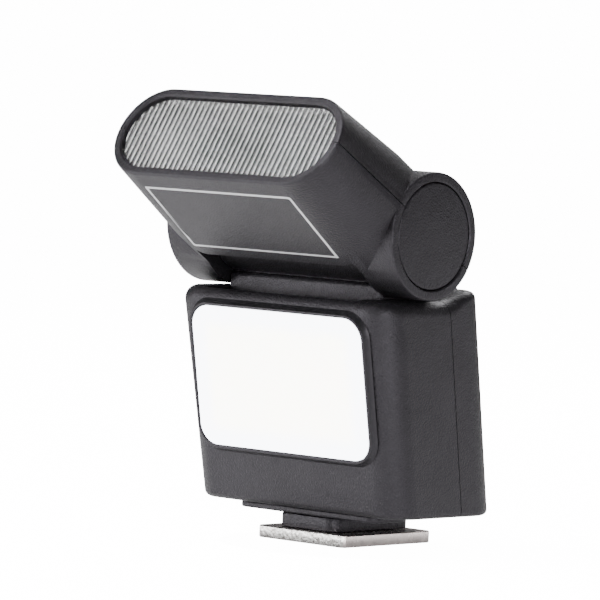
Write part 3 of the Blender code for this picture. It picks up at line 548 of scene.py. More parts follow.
# Geometry node trees

def closeTree(tree, out, geometry, material):
    whole = wire(tree, "GeometryNodeRealizeInstances", {0: geometry})
    painted = wire(tree, "GeometryNodeSetMaterial", {"Geometry": whole.outputs[0], "Material": material})
    tree.links.new(painted.outputs[0], out["Geometry"])
    return tree


def buildRibbedLens():
    inputs = (("Half Width", "Float", 0.02), ("Half Height", "Float", 0.005), ("Thickness", "Float", 0.001),
              ("Ribs", "Int", 40), ("Rib Depth", "Float", 0.0002), ("Material", "Material", None))
    tree, given, out = openTree("ribbedLens", "GeometryNodeTree", inputs, (("Geometry", "Geometry"),))
    half, tall, ribs = given["Half Width"], given["Half Height"], given["Ribs"]
    columns = maths(tree, "MULTIPLY_ADD", ribs, 10.0, 1.0)
    sizes = {"Size X": maths(tree, "MULTIPLY", half, 2.0), "Size Y": maths(tree, "MULTIPLY", tall, 2.0),
             "Vertices X": columns, "Vertices Y": 7}
    grid = wire(tree, "GeometryNodeMeshGrid", sizes).outputs["Mesh"]
    spot = wire(tree, "ShaderNodeSeparateXYZ", {0: tree.nodes.new("GeometryNodeInputPosition").outputs[0]}).outputs
    reach = maths(tree, "ABSOLUTE", spot[0])
    over = maths(tree, "MAXIMUM", maths(tree, "SUBTRACT", reach, maths(tree, "SUBTRACT", half, tall)), 0.0)
    square = maths(tree, "SUBTRACT", maths(tree, "POWER", tall, 2.0), maths(tree, "POWER", over, 2.0))
    height = maths(tree, "SQRT", maths(tree, "MAXIMUM", square, 1e-8))
    z = maths(tree, "MULTIPLY", maths(tree, "DIVIDE", spot[1], tall), height)
    share = maths(tree, "MULTIPLY", maths(tree, "DIVIDE", spot[0], maths(tree, "MULTIPLY", half, 2.0)), ribs)
    wave = maths(tree, "ABSOLUTE", maths(tree, "SINE", maths(tree, "MULTIPLY", share, math.pi)))
    y = maths(tree, "MULTIPLY", maths(tree, "MULTIPLY", wave, given["Rib Depth"]), -1.0)
    place = wire(tree, "ShaderNodeCombineXYZ", {0: spot[0], 1: y, 2: z})
    front = wire(tree, "GeometryNodeSetPosition", {"Geometry": grid, "Position": place.outputs[0]})
    back = wire(tree, "GeometryNodeExtrudeMesh", {"Mesh": front.outputs[0], "Offset": (0, 1, 0),
                                                  "Offset Scale": given["Thickness"], "Individual": False})
    now = wire(tree, "ShaderNodeSeparateXYZ", {0: tree.nodes.new("GeometryNodeInputPosition").outputs[0]}).outputs
    flat = wire(tree, "ShaderNodeCombineXYZ", {0: now[0], 1: given["Thickness"], 2: now[2]})
    level = wire(tree, "GeometryNodeSetPosition", {"Geometry": back.outputs[0], "Selection": back.outputs["Top"],
                                                   "Position": flat.outputs[0]})
    turnedRound = wire(tree, "GeometryNodeFlipFaces", {"Mesh": level.outputs[0]})
    both = tree.nodes.new("GeometryNodeJoinGeometry")
    tree.links.new(turnedRound.outputs[0], both.inputs[0])
    tree.links.new(front.outputs[0], both.inputs[0])
    whole = wire(tree, "GeometryNodeMergeByDistance", {"Geometry": both.outputs[0], "Distance": 1e-6})
    return closeTree(tree, out, whole.outputs[0], given["Material"])


def buildSpring():
    inputs = (("Radius", "Float", 0.001), ("Wire", "Float", 0.0001), ("Length", "Float", 0.003),
              ("Turns", "Float", 4.0), ("Material", "Material", None))
    tree, given, out = openTree("woundSpring", "GeometryNodeTree", inputs, (("Geometry", "Geometry"),))
    spiral = wire(tree, "GeometryNodeCurveSpiral", {"Resolution": 40, "Rotations": given["Turns"],
                                                    "Start Radius": given["Radius"], "End Radius": given["Radius"],
                                                    "Height": given["Length"]})
    section = wire(tree, "GeometryNodeCurvePrimitiveCircle", {"Resolution": 12, "Radius": given["Wire"]})
    swept = wire(tree, "GeometryNodeCurveToMesh", {"Curve": spiral.outputs[0], "Profile Curve": section.outputs[0],
                                                   "Fill Caps": True})
    return closeTree(tree, out, swept.outputs[0], given["Material"])


def buildBarRow():
    # A row of round bars along X, each bar lying along Z
    inputs = (("Count", "Int", 5), ("Pitch", "Float", 0.0005), ("Length", "Float", 0.002),
              ("Radius", "Float", 0.0001), ("Material", "Material", None))
    tree, given, out = openTree("barRow", "GeometryNodeTree", inputs, (("Geometry", "Geometry"),))
    step = wire(tree, "ShaderNodeCombineXYZ", {0: given["Pitch"]})
    line = wire(tree, "GeometryNodeMeshLine", {"Count": given["Count"], "Offset": step.outputs[0]})
    low = wire(tree, "ShaderNodeCombineXYZ", {2: maths(tree, "MULTIPLY", given["Length"], -0.5)})
    high = wire(tree, "ShaderNodeCombineXYZ", {2: maths(tree, "MULTIPLY", given["Length"], 0.5)})
    path = wire(tree, "GeometryNodeCurvePrimitiveLine", {"Start": low.outputs[0], "End": high.outputs[0]})
    section = wire(tree, "GeometryNodeCurvePrimitiveCircle", {"Resolution": 12, "Radius": given["Radius"]})
    bar = wire(tree, "GeometryNodeCurveToMesh", {"Curve": path.outputs[0], "Profile Curve": section.outputs[0],
                                                 "Fill Caps": True})
    row = wire(tree, "GeometryNodeInstanceOnPoints", {"Points": line.outputs[0], "Instance": bar.outputs[0]})
    middle = maths(tree, "MULTIPLY", maths(tree, "SUBTRACT", given["Count"], 1.0), given["Pitch"])
    shift = wire(tree, "ShaderNodeCombineXYZ", {0: maths(tree, "MULTIPLY", middle, -0.5)})
    centred = wire(tree, "GeometryNodeTransform", {"Geometry": row.outputs[0], "Translation": shift.outputs[0]})
    return closeTree(tree, out, centred.outputs[0], given["Material"])


def buildCopies():
    # A copy of one shape at each point of the mesh
    inputs = (("Geometry", "Geometry", None), ("Shape", "Object", None), ("Size", "Float", 1.0),
              ("Material", "Material", None))
    tree, given, out = openTree("copiesAtPoints", "GeometryNodeTree", inputs, (("Geometry", "Geometry"),))
    shape = wire(tree, "GeometryNodeObjectInfo", {"Object": given["Shape"]})
    copies = wire(tree, "GeometryNodeInstanceOnPoints", {"Points": given["Geometry"],
                                                         "Instance": shape.outputs["Geometry"],
                                                         "Scale": given["Size"]})
    return closeTree(tree, out, copies.outputs[0], given["Material"])


ribbedLens, woundSpring, barRow, copiesAtPoints = buildRibbedLens(), buildSpring(), buildBarRow(), buildCopies()


def grow(name, tree, values, place, points=()):
    mesh = bpy.data.meshes.new(name)
    mesh.from_pydata([tuple(point) for point in points], [], [])
    made = bpy.data.objects.new(name, mesh)
    scene.collection.objects.link(made)
    step = made.modifiers.new(name, "NODES")
    step.node_group = tree
    for item in tree.interface.items_tree:
        if item.in_out == "INPUT" and item.name in values:
            step[item.identifier] = values[item.name]
    settle(made)
    made.data.transform(place)
    return made


# Body shells

rear = {
    "buttonRadius": 3.0 * mm, "buttonSpacing": 10.0 * mm, "buttonHeight": 5.5 * mm, "switchHeight": -5.5 * mm,
    "switchTravel": joints["power_switch_slide"]["range_m"][1], "lampX": 9.5 * mm,
    "screwX": 14.6 * mm, "screwHeight": -8.0 * mm, "portDepth": -4.9 * mm, "portHeight": 1.0 * mm,
}


def bodyOutline(z, inset, steps=14, sideSteps=24):
    # The outline as pairs, with extra points along its sides, where the top changes height
    share = (z - bodyLow) / (bodyTop - bodyLow)
    half = body["halfWidthLow"] + (body["halfWidthTop"] - body["halfWidthLow"]) * share
    outline = rounded(half - inset, body["halfDepth"] - inset, body["frontCorner"] - inset, steps,
                      body["rearCorner"] - inset)
    points = []
    for here, after in zip(outline, outline[1:] + outline[:1]):
        points.append(here)
        length = after[1] - here[1]
        if abs(length) > body["frontCorner"]:
            points += [(here[0], here[1] + length * i / sideSteps) for i in range(1, sideSteps)]
    return points


def bodyRing(z, inset):
    return upright(bodyOutline(z, inset), z, bodyCentreY(z))


def topRing(turn):
    # Behind the hinge drums the top is higher and its edge is sharper
    inward, down = 1 - math.cos(turn), 1 - math.sin(turn)
    low = bodyTop - body["topFillet"] * down
    before = bodyOutline(low, body["topFillet"] * inward)
    behind = bodyOutline(low, body["rearTopFillet"] * inward)
    points = []
    for near, far, edge in zip(before, behind, bodyOutline(low, 0.0)):
        share = (edge[1] - body["riseStart"]) / (body["riseEnd"] - body["riseStart"])
        share = min(1.0, max(0.0, share))
        share = share * share * (3 - 2 * share)
        radius = body["topFillet"] + (body["rearTopFillet"] - body["topFillet"]) * share
        z = bodyTop + body["rearRise"] * share - radius * down
        x = near[0] + (far[0] - near[0]) * share
        points.append(Vector((x, near[1] + (far[1] - near[1]) * share + bodyCentreY(z), z)))
    return points


def filletedBody():
    low = body["lowFillet"]
    rings = []
    for i in range(7):
        turn = math.pi / 2 * i / 6
        rings.append(bodyRing(bodyLow + low * (1 - math.cos(turn)), low * (1 - math.sin(turn))))
    rings += [topRing(math.pi / 2 * i / 12) for i in range(13)]
    return skin(rings, strips=True)


def buildBodyShells():
    wall, gap, far = body["wall"], body["gap"], 60 * mm
    seamPlace = leaningPlace((bodyLow + bodyTop) / 2, -1)
    seamY = body["seamBehindFront"] * math.cos(lean)
    cavity = makeObject("cavity", skin([bodyRing(bodyLow + wall, wall), bodyRing(bodyTop - wall, wall)]))
    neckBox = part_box("neck_block")
    notch = makeObject("notch", slab((-neckHalf - gap, neckBox[0].y - gap, neckBox[0].z - gap),
                                     (neckHalf + gap, 30 * mm, 60 * mm)))
    half = 0.5 * body["seamGap"]
    behind = makeObject("behind", slab((-far, seamY - half, -far), (far, far, far)), seamPlace)
    before = makeObject("before", slab((-far, -far, -far), (far, seamY + half, far)), seamPlace)

    front = makeObject("frontShell", filletedBody())
    carve(front, [cavity, notch, behind])
    finishPiece(front, "body", paints["shell"], ["body_front_shell"])

    holes = []
    r = rear["buttonRadius"] + gap
    for x in (-rear["buttonSpacing"], 0, rear["buttonSpacing"]):
        rim = [(r, -3 * mm), (r, -0.25 * mm), (r + 0.25 * mm, 0.0), (r + 0.25 * mm, 2 * mm)]
        holes.append(makeObject("hole", turned(rim, "Y", 64),
                                rearFace @ Matrix.Translation((x, 0, rear["buttonHeight"]))))
    slotHalf = 2.0 * mm + rear["switchTravel"] / 2 + gap
    slot = [facing(rounded(slotHalf, 1.35 * mm, 0.6 * mm), -3 * mm), facing(rounded(slotHalf, 1.35 * mm, 0.6 * mm), -0.2 * mm),
            facing(rounded(slotHalf + 0.2 * mm, 1.55 * mm, 0.8 * mm), 0), facing(rounded(slotHalf + 0.2 * mm, 1.55 * mm, 0.8 * mm), 2 * mm)]
    holes.append(makeObject("hole", skin(slot), rearFace @ Matrix.Translation((0, 0, rear["switchHeight"]))))
    holes.append(makeObject("hole", rod(1.15 * mm, -3 * mm, 3 * mm, "Y", 40),
                            rearFace @ Matrix.Translation((rear["lampX"], 0, rear["switchHeight"]))))
    for side in (-1, 1):
        step = [(1.1 * mm, -2 * mm), (1.1 * mm, -0.7 * mm), (2.15 * mm, -0.7 * mm), (2.15 * mm, 2 * mm)]
        holes.append(makeObject("hole", turned(step, "Y", 48),
                                rearFace @ Matrix.Translation((side * rear["screwX"], 0, rear["screwHeight"]))))
    mouth = rounded(1.7 * mm, 4.6 * mm, 1.68 * mm)
    portHole = skin([[Vector((x, a, b)) for a, b in mouth] for x in (-25.3 * mm, -19.3 * mm)])
    portSpot = rearFace @ Matrix.Translation((0, rear["portDepth"], rear["portHeight"]))
    holes.append(makeObject("hole", portHole, portSpot))
    back = makeObject("rearShell", filletedBody())
    carve(back, [cavity, notch, before] + holes)
    finishPiece(back, "body", paints["shell"], ["body_rear_shell"])
    discard(cavity, notch, behind, before, *holes)
    print("body shells:", len(front.data.polygons), len(back.data.polygons))


buildBodyShells()


# LED panel

panel = {"halfWidth": 18.0 * mm, "halfHeight": 11.4 * mm, "corner": 3.4 * mm, "height": 1.0 * mm,
         "lip": 0.6 * mm, "draft": 0.6 * mm}


def buildPanel():
    a, b, c = panel["halfWidth"], panel["halfHeight"], panel["corner"]

    def outline(grow, y):
        return facing(rounded(a + grow, b + grow, c + grow, 16), y)

    height, lip, edge = panel["height"], panel["lip"], 0.16 * mm
    rings = [outline(lip + panel["draft"], -0.02 * mm)]
    for i in range(5):
        turn = math.pi / 2 * i / 4
        rings.append(outline(lip - edge * (1 - math.cos(turn)), -height + edge * (1 - math.sin(turn))))
    for i in range(5):
        turn = math.pi / 2 * i / 4
        rings.append(outline(0.1 * mm + edge * (1 - math.sin(turn)), -height + edge * (1 - math.cos(turn))))
    rings.append(outline(0.1 * mm, -0.02 * mm))
    bezel = makeObject("panelBezel", skin(rings, closed=True), frontFace)
    finishPiece(bezel, "body", paints["bezel"], ["panel_bezel"])
    sheet = [outline(-inset, y) for inset, y in fillet(0.12 * mm, -0.9 * height, -0.15 * mm, 3)]
    diffuser = makeObject("ledDiffuser", skin(sheet), frontFace)
    finishPiece(diffuser, "body", paints["opal"], ["led_diffuser"])
    print("panel done")


buildPanel()


# Neck

neck = {"front": 2.8 * mm, "stepZ": 42.5 * mm, "lowZ": 36.3 * mm, "barrel": 8.0 * mm, "stepFillet": 0.9 * mm,
        "edge": 0.35 * mm}


def neckProfile():
    front, r = hinge.y - neck["front"], neck["stepFillet"]
    points = [(front, neck["lowZ"])]
    for i in range(7):
        turn = math.pi / 2 * i / 6
        points.append((front + r * (1 - math.cos(turn)), neck["stepZ"] - r * (1 - math.sin(turn))))
    for degrees in range(15, 256, 4):
        turn = math.radians(degrees)
        points.append((hinge.y - neck["barrel"] * math.sin(turn), hinge.z - neck["barrel"] * math.cos(turn)))
    top = bodyTop + 2.4 * mm
    shoulder = bodyCentreY(top) + body["halfDepth"]
    points.append((shoulder - 1.2 * mm, top + 0.4 * mm))
    points.append((shoulder - 0.2 * mm, top - 0.8 * mm))
    points.append((bodyCentreY(neck["lowZ"]) + body["halfDepth"], neck["lowZ"]))
    return points


def buildNeck():
    profile = neckProfile()
    block = makeObject("neckBlock", skin([[Vector((x, y, z)) for y, z in profile] for x in (-neckHalf, neckHalf)]))
    softEdges(block, neck["edge"], 3, 60)
    bore = makeObject("bore", rod(3.1 * mm, -30 * mm, 30 * mm), hingePlace)
    pocket = makeObject("pocket", slab((-12 * mm, hinge.y - 0.5 * mm, neck["lowZ"] - mm),
                                       (12 * mm, hinge.y + 10 * mm, 45 * mm)))
    carve(block, [bore, pocket])
    discard(bore, pocket)
    finishPiece(block, "body", paints["shell"], ["neck_block"])
    print("neck done")


buildNeck()


def stadium(halfWidth, halfHeight, y, steps=24):
    return facing(rounded(halfWidth, halfHeight, halfHeight, steps), y)


def headOutside():
    rings = []
    r = head["rounding"]
    for i in range(6):
        turn = math.pi / 2 * i / 5
        inset = r * (1 - math.sin(turn))
        y = -head["length"] + r * (1 - math.cos(turn))
        rings.append(stadium(head["halfWidth"] - inset, head["halfHeight"] - inset, y))
    rings.append(stadium(head["drumWidth"], head["flareHeight"], head["flareY"]))
    rings.append(stadium(head["drumWidth"], head["drumHeight"], -1.5 * mm))
    return skin(rings)


def headDrum(side):
    edge = 0.35 * mm
    profile = [(head["drumRadius"], side * (head["drumInner"] - mm))]
    for i in range(5):
        turn = math.pi / 2 * i / 4
        profile.append((head["drumRadius"] - edge * (1 - math.cos(turn)), side * (drumEnd - edge * (1 - math.sin(turn)))))
    return makeObject("drum", turned(profile, "X", 144), headPlace)


def buildHeadShells():
    mouth = (head["halfWidth"] - head["wall"], head["halfHeight"] - head["wall"])
    drums = [headDrum(side) for side in (-1, 1)]
    tools = [makeObject("notch", rod(head["notch"], -head["drumInner"], head["drumInner"], "X", 144), headPlace)]
    lip = 0.25 * mm
    tools.append(makeObject("cavity", skin([
        stadium(mouth[0] + lip, mouth[1] + lip, -head["length"] - mm),
        stadium(mouth[0] + lip, mouth[1] + lip, -head["length"]),
        stadium(*mouth, -head["length"] + lip),
        stadium(*mouth, -head["length"] + 3 * mm),
        stadium(head["drumWidth"] - 1.8 * mm, head["drumHeight"] - 2.4 * mm, -13.3 * mm),
    ]), headPlace))
    for side in (-1, 1):
        rim = head["cap"] + body["gap"]
        recess = [(rim, side * 22.5 * mm), (rim, side * (drumEnd - 0.2 * mm)), (rim + 0.2 * mm, side * drumEnd),
                  (rim + 0.2 * mm, side * 26 * mm)]
        tools.append(makeObject("recess", turned(recess, "X", 144), headPlace))
        for radius, low, high in ((7.2, 18.3, 22.6), (4.3, 16.0, 18.4)):
            span = sorted((side * low * mm, side * high * mm))
            tools.append(makeObject("room", rod(radius * mm, *span, "X", 64), headPlace))
    low, high, inner, outer = 4.5 * mm, 6.8 * mm, 16.0 * mm, 17.2 * mm
    track = turned([(high, inner), (high, outer), (low, outer), (low, inner)], "X", 96, True)
    tools.append(makeObject("detentTrack", track, headPlace))
    far = 60 * mm
    for name, node, low, high in (
        ("upperHeadShell", "head_upper_shell", (-far, -far, -far), (far, far, head["seam"] / 2)),
        ("lowerHeadShell", "head_lower_shell", (-far, -far, -head["seam"] / 2), (far, far, far)),
    ):
        other = makeObject("other", slab(low, high), headPlace)
        shell = makeObject(name, headOutside(), headPlace)
        carve(shell, drums, "UNION")
        carve(shell, tools + [other])
        discard(other)
        finishPiece(shell, "head", paints["shell"], [node])
    discard(*drums, *tools)
    print("head shells done")


buildHeadShells()


def buildHingeCaps():
    for side, word in ((-1, "left"), (1, "right")):
        inner, outer, edge = 22.65 * mm, drumEnd - 0.1 * mm, 0.3 * mm
        profile = [(head["cap"], side * inner)]
        for i in range(6):
            turn = math.pi / 2 * i / 5
            profile.append((head["cap"] - edge * (1 - math.cos(turn)), side * (outer - edge * (1 - math.sin(turn)))))
        cap = makeObject(word + "HingeCap", turned(profile, "X", 144), headPlace)
        finishPiece(cap, "head", paints["shell"], [word + "_hinge_cap"])


buildHingeCaps()


def buildLens():
    half = head["halfWidth"] - head["wall"] - body["gap"]
    tall = head["halfHeight"] - head["wall"] - body["gap"]
    values = {"Half Width": half, "Half Height": tall, "Thickness": 1.1 * mm, "Ribs": ribCount, "Rib Depth": 0.22 * mm,
              "Material": paints["lens"]}
    place = headPlace @ Matrix.Translation((0, -head["length"] + head["lensInset"] + 0.2 * mm, 0))
    lens = grow("flashLens", ribbedLens, values, place)
    finishPiece(lens, "head", paints["lens"], ["flash_lens"], 60)
    print("lens:", len(lens.data.polygons))


buildLens()


def buildReflector():
    # A shallow tray whose floor curves up to the mouth, with a pocket for the tube in its middle
    front, floor, pocket, sheet = -24.3 * mm, -21.5 * mm, -16.3 * mm, 0.4 * mm
    rings = [facing(rounded(7.2 * mm, 3.3 * mm, 1.2 * mm), pocket - sheet),
             facing(rounded(7.2 * mm, 3.3 * mm, 1.2 * mm), floor - sheet)]
    for i in range(9):
        share = i / 8
        lift = share ** 2
        y = floor - sheet + (front - floor + sheet) * lift
        wide, tall = 19.4 * mm + 1.5 * mm * share, 4.6 * mm + 1.1 * mm * share
        rings.append(facing(rounded(wide, tall, tall - 0.2 * mm), y))
    rings.append(facing(rounded(21.3 * mm, 6.1 * mm, 5.9 * mm), front))
    rings.append(facing(rounded(19.8 * mm, 5.0 * mm, 4.8 * mm), floor))
    rings.append(facing(rounded(7.6 * mm, 3.7 * mm, 1.6 * mm), floor))
    rings.append(facing(rounded(7.6 * mm, 3.7 * mm, 1.6 * mm), pocket))
    tray = makeObject("reflectorTray", skin(rings), headPlace)
    finishPiece(tray, "head", paints["foil"], ["reflector"], 25)
    # A dark sheet lines the tube pocket as painted shade
    wall = 0.12 * mm
    rings = [facing(rounded(7.18 * mm, 3.28 * mm, 1.18 * mm), y) for y in (floor - 0.3 * mm, pocket - sheet - 0.02 * mm)]
    shadeLining = makeObject("pocketLining", skin(rings), headPlace)
    inside = makeObject("pocketInside", skin([facing(rounded(7.08 * mm, 3.18 * mm, 1.08 * mm), y)
                                              for y in (floor - mm, pocket - sheet - wall)]), headPlace)
    carve(shadeLining, [inside])
    discard(inside)
    finishPiece(shadeLining, "head", paints["pocket"])


buildReflector()


def buildTube():
    spot = headPlace @ Matrix.Translation((0, head["tubeY"], 0))
    bulb = makeObject("flashTube", rod(1.35 * mm, -7.0 * mm, 7.0 * mm, "X", 48, 0.5 * mm), spot)
    finishPiece(bulb, "head", paints["tube"], ["flash_tube"])
    ends = []
    for side in (-1, 1):
        pin = [(0.35 * mm, side * 6.9 * mm), (0.9 * mm, side * 6.2 * mm), (0.9 * mm, side * 4.6 * mm), (0.5 * mm, side * 4.3 * mm)]
        ends.append(makeObject("electrode", turned(pin, "X", 24), spot))
    finishPiece(joined("tubeElectrodes", ends), "head", paints["steel"])


buildTube()

label = {"halfWidth": 15.5 * mm, "front": -23.7 * mm, "back": -8.4 * mm, "line": 0.5 * mm, "proud": 0.02 * mm}


def undersideZ(y):
    steps = ((-head["length"] + head["rounding"], head["halfHeight"]), (head["flareY"], head["flareHeight"]),
             (-1.5 * mm, head["drumHeight"]))
    start, end = steps[:2] if y < head["flareY"] else steps[1:]
    share = (y - start[0]) / (end[0] - start[0])
    return -(start[1] + (end[1] - start[1]) * share)


def buildLabelFrame():
    # A plain printed border on the underside of the head
    a, line = label["halfWidth"], label["line"]
    middle, halfLength = (label["front"] + label["back"]) / 2, (label["back"] - label["front"]) / 2
    rings = []
    for grow, lift in ((0, 0), (0, 1), (-line, 1), (-line, 0)):
        points = rounded(a + grow, halfLength + grow, 0.35 * mm, 4)
        rings.append([Vector((x, y + middle, undersideZ(y + middle) - lift * label["proud"])) for x, y in points])
    border = makeObject("labelBorder", skin(rings, closed=True), headPlace)
    finishPiece(border, "head", paints["ink"])


buildLabelFrame()


# Foot

foot = {"halfWidth": 9.3 * mm, "halfLength": 10.6 * mm, "cut": 0.6 * mm, "rearCut": 0.3 * mm, "edge": 0.22 * mm,
        "screwX": 4.3 * mm, "screwY": 5.4 * mm, "insulator": 3.6 * mm, "stemCorner": 2.2 * mm,
        "plinthLow": 4.4 * mm, "plinthRear": -1.0 * mm, "wellRadius": 2.3 * mm, "wellTop": 5.3 * mm}


def plateOutline(inset):
    x, y = foot["halfWidth"] - inset, foot["halfLength"] - inset
    c, r = foot["cut"], foot["rearCut"]
    right = [(x - c, -y), (x, -y + c), (x, y - r), (x - r, y)]
    return right + [(-a, b) for a, b in reversed(right)]


def crossSlots(half, reach, low, high, axis):
    arm = [(reach, -half), (reach, half), (half, half)]
    corners = []
    for turn in range(4):
        for a, b in arm:
            for _ in range(turn):
                a, b = -b, a
            corners.append((a, b))
    make = facing if axis == "Y" else upright
    return skin([make(corners, level) for level in (low, high)])


def buildScrewShape(profile, drive, axis):
    shape = makeObject("screwShape", turned(profile, axis, 32))
    slots = makeObject("slots", crossSlots(*drive, axis))
    carve(shape, [slots])
    discard(slots)
    return shape


def buildFoot():
    plate = makeObject("footPlate", skin([upright(plateOutline(i), z) for i, z in fillet(foot["edge"], 0, footTop, 3)]))
    holes = [makeObject("hole", rod(foot["insulator"] + 0.1 * mm, -mm, 4 * mm, "Z", 96))]
    spots = [(x * foot["screwX"], y * foot["screwY"], 0) for x in (-1, 1) for y in (-1, 1)]
    sink = [(1.75 * mm, -0.3 * mm), (1.75 * mm, 0.2 * mm), (0.85 * mm, 1.1 * mm), (0.85 * mm, 9 * mm)]
    holes += [makeObject("hole", turned(sink, "Z", 40), Matrix.Translation(spot)) for spot in spots]
    carve(plate, holes)
    discard(*holes)
    finishPiece(plate, "body", paints["nickel"], ["foot_plate"])

    low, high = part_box("foot_stem")
    corner = foot["stemCorner"]
    rings = [upright(rounded(high.x - i, high.y - i, corner - i), z) for i, z in fillet(0.1 * mm, low.z, high.z, 2)]
    stem = makeObject("footStem", skin(rings))
    well = makeObject("well", rod(foot["wellRadius"], footTop, foot["wellTop"], "Z", 64))
    shanks = [makeObject("shank", rod(0.85 * mm, footTop, 9 * mm, "Z", 32), Matrix.Translation(spot)) for spot in spots]
    carve(stem, [well] + shanks)
    finishPiece(stem, "body", paints["shell"], ["foot_stem"])
    tailRings = [upright(rounded(high.x, high.y, corner), z) for z in (foot["plinthLow"], bodyLow - body["gap"])]
    tail = makeObject("plinthTail", skin(tailRings))
    low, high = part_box("base_plinth")
    halfY = (foot["plinthRear"] - low.y) / 2
    rings = [upright(rounded(high.x - i, halfY - i, 2.0 * mm - i), z, low.y + halfY)
             for i, z in fillet(0.3 * mm, low.z, high.z, 4)]
    plinth = makeObject("basePlinth", skin(rings))
    carve(plinth, [tail], "UNION")
    carve(plinth, [well] + shanks)
    discard(tail, well, *shanks)
    finishPiece(plinth, "body", paints["shell"], ["base_plinth"])

    screw = [(1.55 * mm, 0.1 * mm), (1.55 * mm, 0.2 * mm), (0.7 * mm, 1.05 * mm), (0.7 * mm, 1.9 * mm)]
    shape = buildScrewShape(screw, (0.24 * mm, 0.95 * mm, -mm, 0.5 * mm), "Z")
    screws = grow("footScrews", copiesAtPoints, {"Shape": shape, "Size": 1.0, "Material": paints["steel"]}, Matrix(), spots)
    discard(shape)
    nodes = [f"{x}_{y}_foot_screw" for x in ("left", "right") for y in ("front", "rear")]
    finishPiece(screws, "body", paints["steel"], nodes)
    print("foot done")


buildFoot()


# Rear controls

def buildButtons():
    r = rear["buttonRadius"]
    for word, x, arms in (("dimmer", -rear["buttonSpacing"], (0,)), ("test", 0, ()), ("brighter", rear["buttonSpacing"], (0, 90))):
        spot = rearFace @ Matrix.Translation((x, 0, rear["buttonHeight"]))
        profile = [(3.8 * mm, -3.0 * mm), (3.8 * mm, -2.3 * mm), (r, -2.3 * mm), (r, 0.3 * mm)]
        profile += [(r - 0.3 * mm * (1 - math.cos(t)), 0.3 * mm + 0.3 * mm * math.sin(t)) for t in (0.5, 1.0, math.pi / 2)]
        profile += [(r * share, 0.6 * mm + 0.12 * mm * (1 - share ** 2)) for share in (0.7, 0.5, 0.3, 0.05)]
        button = makeObject(word + "Button", turned(profile, "Y", 64), spot)
        for turn in arms:
            bar = makeObject("bar", skin([facing(rounded(1.1 * mm, 0.2 * mm, 0.15 * mm, 3), y) for y in (0.3 * mm, 0.8 * mm)]),
                             spot @ Matrix.Rotation(math.radians(turn), 4, "Y"))
            carve(button, [bar], "UNION")
            discard(bar)
        finishPiece(button, word + "_button", paints["control"], [word + "_button"])


buildButtons()


def buildSwitch():
    spot = rearFace @ Matrix.Translation((-rear["switchTravel"] / 2, 0, rear["switchHeight"]))
    knob = makeObject("knob", skin([facing(rounded(2.0 * mm - i, 1.2 * mm - i, 0.5 * mm - i), y)
                                    for i, y in fillet(0.15 * mm, -2.6 * mm, 0.8 * mm, 3)]), spot)
    plate = makeObject("plate", slab((-3.6 * mm, -2.9 * mm, -2.1 * mm), (3.6 * mm, -2.0 * mm, 2.1 * mm)), spot)
    ribs = grow("ribs", barRow, {"Count": 5, "Pitch": 0.65 * mm, "Length": 1.8 * mm, "Radius": 0.13 * mm,
                                 "Material": paints["control"]}, spot @ Matrix.Translation((0, 0.77 * mm, 0)))
    finishPiece(joined("powerSwitch", [knob, plate, ribs]), "power_switch", paints["control"],
                ["power_switch"])


buildSwitch()


def buildLampAndScrews():
    spot = rearFace @ Matrix.Translation((rear["lampX"], 0, rear["switchHeight"]))
    pipe = [(1.7 * mm, -2.6 * mm), (1.7 * mm, -1.7 * mm), (1.0 * mm, -1.7 * mm), (1.0 * mm, -0.1 * mm), (0.8 * mm, 0.05 * mm), (0.3 * mm, 0.1 * mm)]
    finishPiece(makeObject("pilotLamp", turned(pipe, "Y", 40), spot), "body", paints["lamp"], ["pilot_lamp"])
    screw = [(0.7 * mm, -6.5 * mm), (0.7 * mm, -0.55 * mm), (1.9 * mm, -0.55 * mm), (1.9 * mm, -0.15 * mm), (1.7 * mm, 0.0)]
    shape = buildScrewShape(screw, (0.28 * mm, 1.1 * mm, -0.35 * mm, mm), "Y")
    spots = [(side * rear["screwX"], 0, rear["screwHeight"]) for side in (-1, 1)]
    screws = grow("bodyScrews", copiesAtPoints, {"Shape": shape, "Size": 1.0, "Material": paints["steel"]}, rearFace, spots)
    discard(shape)
    finishPiece(screws, "body", paints["steel"], ["left_body_screw", "right_body_screw"])


buildLampAndScrews()


def buildPort():
    spot = rearFace @ Matrix.Translation((0, rear["portDepth"], rear["portHeight"]))
    mouth = -body["halfWidthLow"] + 0.2 * mm

    def ring(x, inset):
        outline = rounded(1.55 * mm - inset, 4.45 * mm - inset, 1.54 * mm - inset)
        return [Vector((x, a, b)) for a, b in outline]

    shell = makeObject("portShell", skin([ring(mouth + 5.9 * mm, 0.35 * mm), ring(mouth + 0.1 * mm, 0.35 * mm), ring(mouth, 0.25 * mm),
                                          ring(mouth, 0.1 * mm), ring(mouth + 0.1 * mm, 0.0), ring(mouth + 6.3 * mm, 0.0)]), spot)
    finishPiece(shell, "body", paints["steel"], ["charging_port"])
    tongue = makeObject("portTongue", slab((mouth + 0.8 * mm, -0.35 * mm, -3.2 * mm), (mouth + 5.9 * mm, 0.35 * mm, 3.2 * mm)), spot)
    softEdges(tongue, 0.12 * mm)
    finishPiece(tongue, "body", paints["insulator"])
    turn = spot @ Matrix.Translation((mouth + 2.2 * mm, 0.33 * mm, 0)) @ Matrix.Rotation(math.radians(90), 4, "Y")
    pads = grow("portContacts", barRow, {"Count": 10, "Pitch": 0.55 * mm, "Length": 2.4 * mm, "Radius": 0.1 * mm,
                                         "Material": paints["brass"]}, turn)
    finishPiece(pads, "body", paints["brass"])


buildPort()


# Springs, the shoe contact and what shows inside

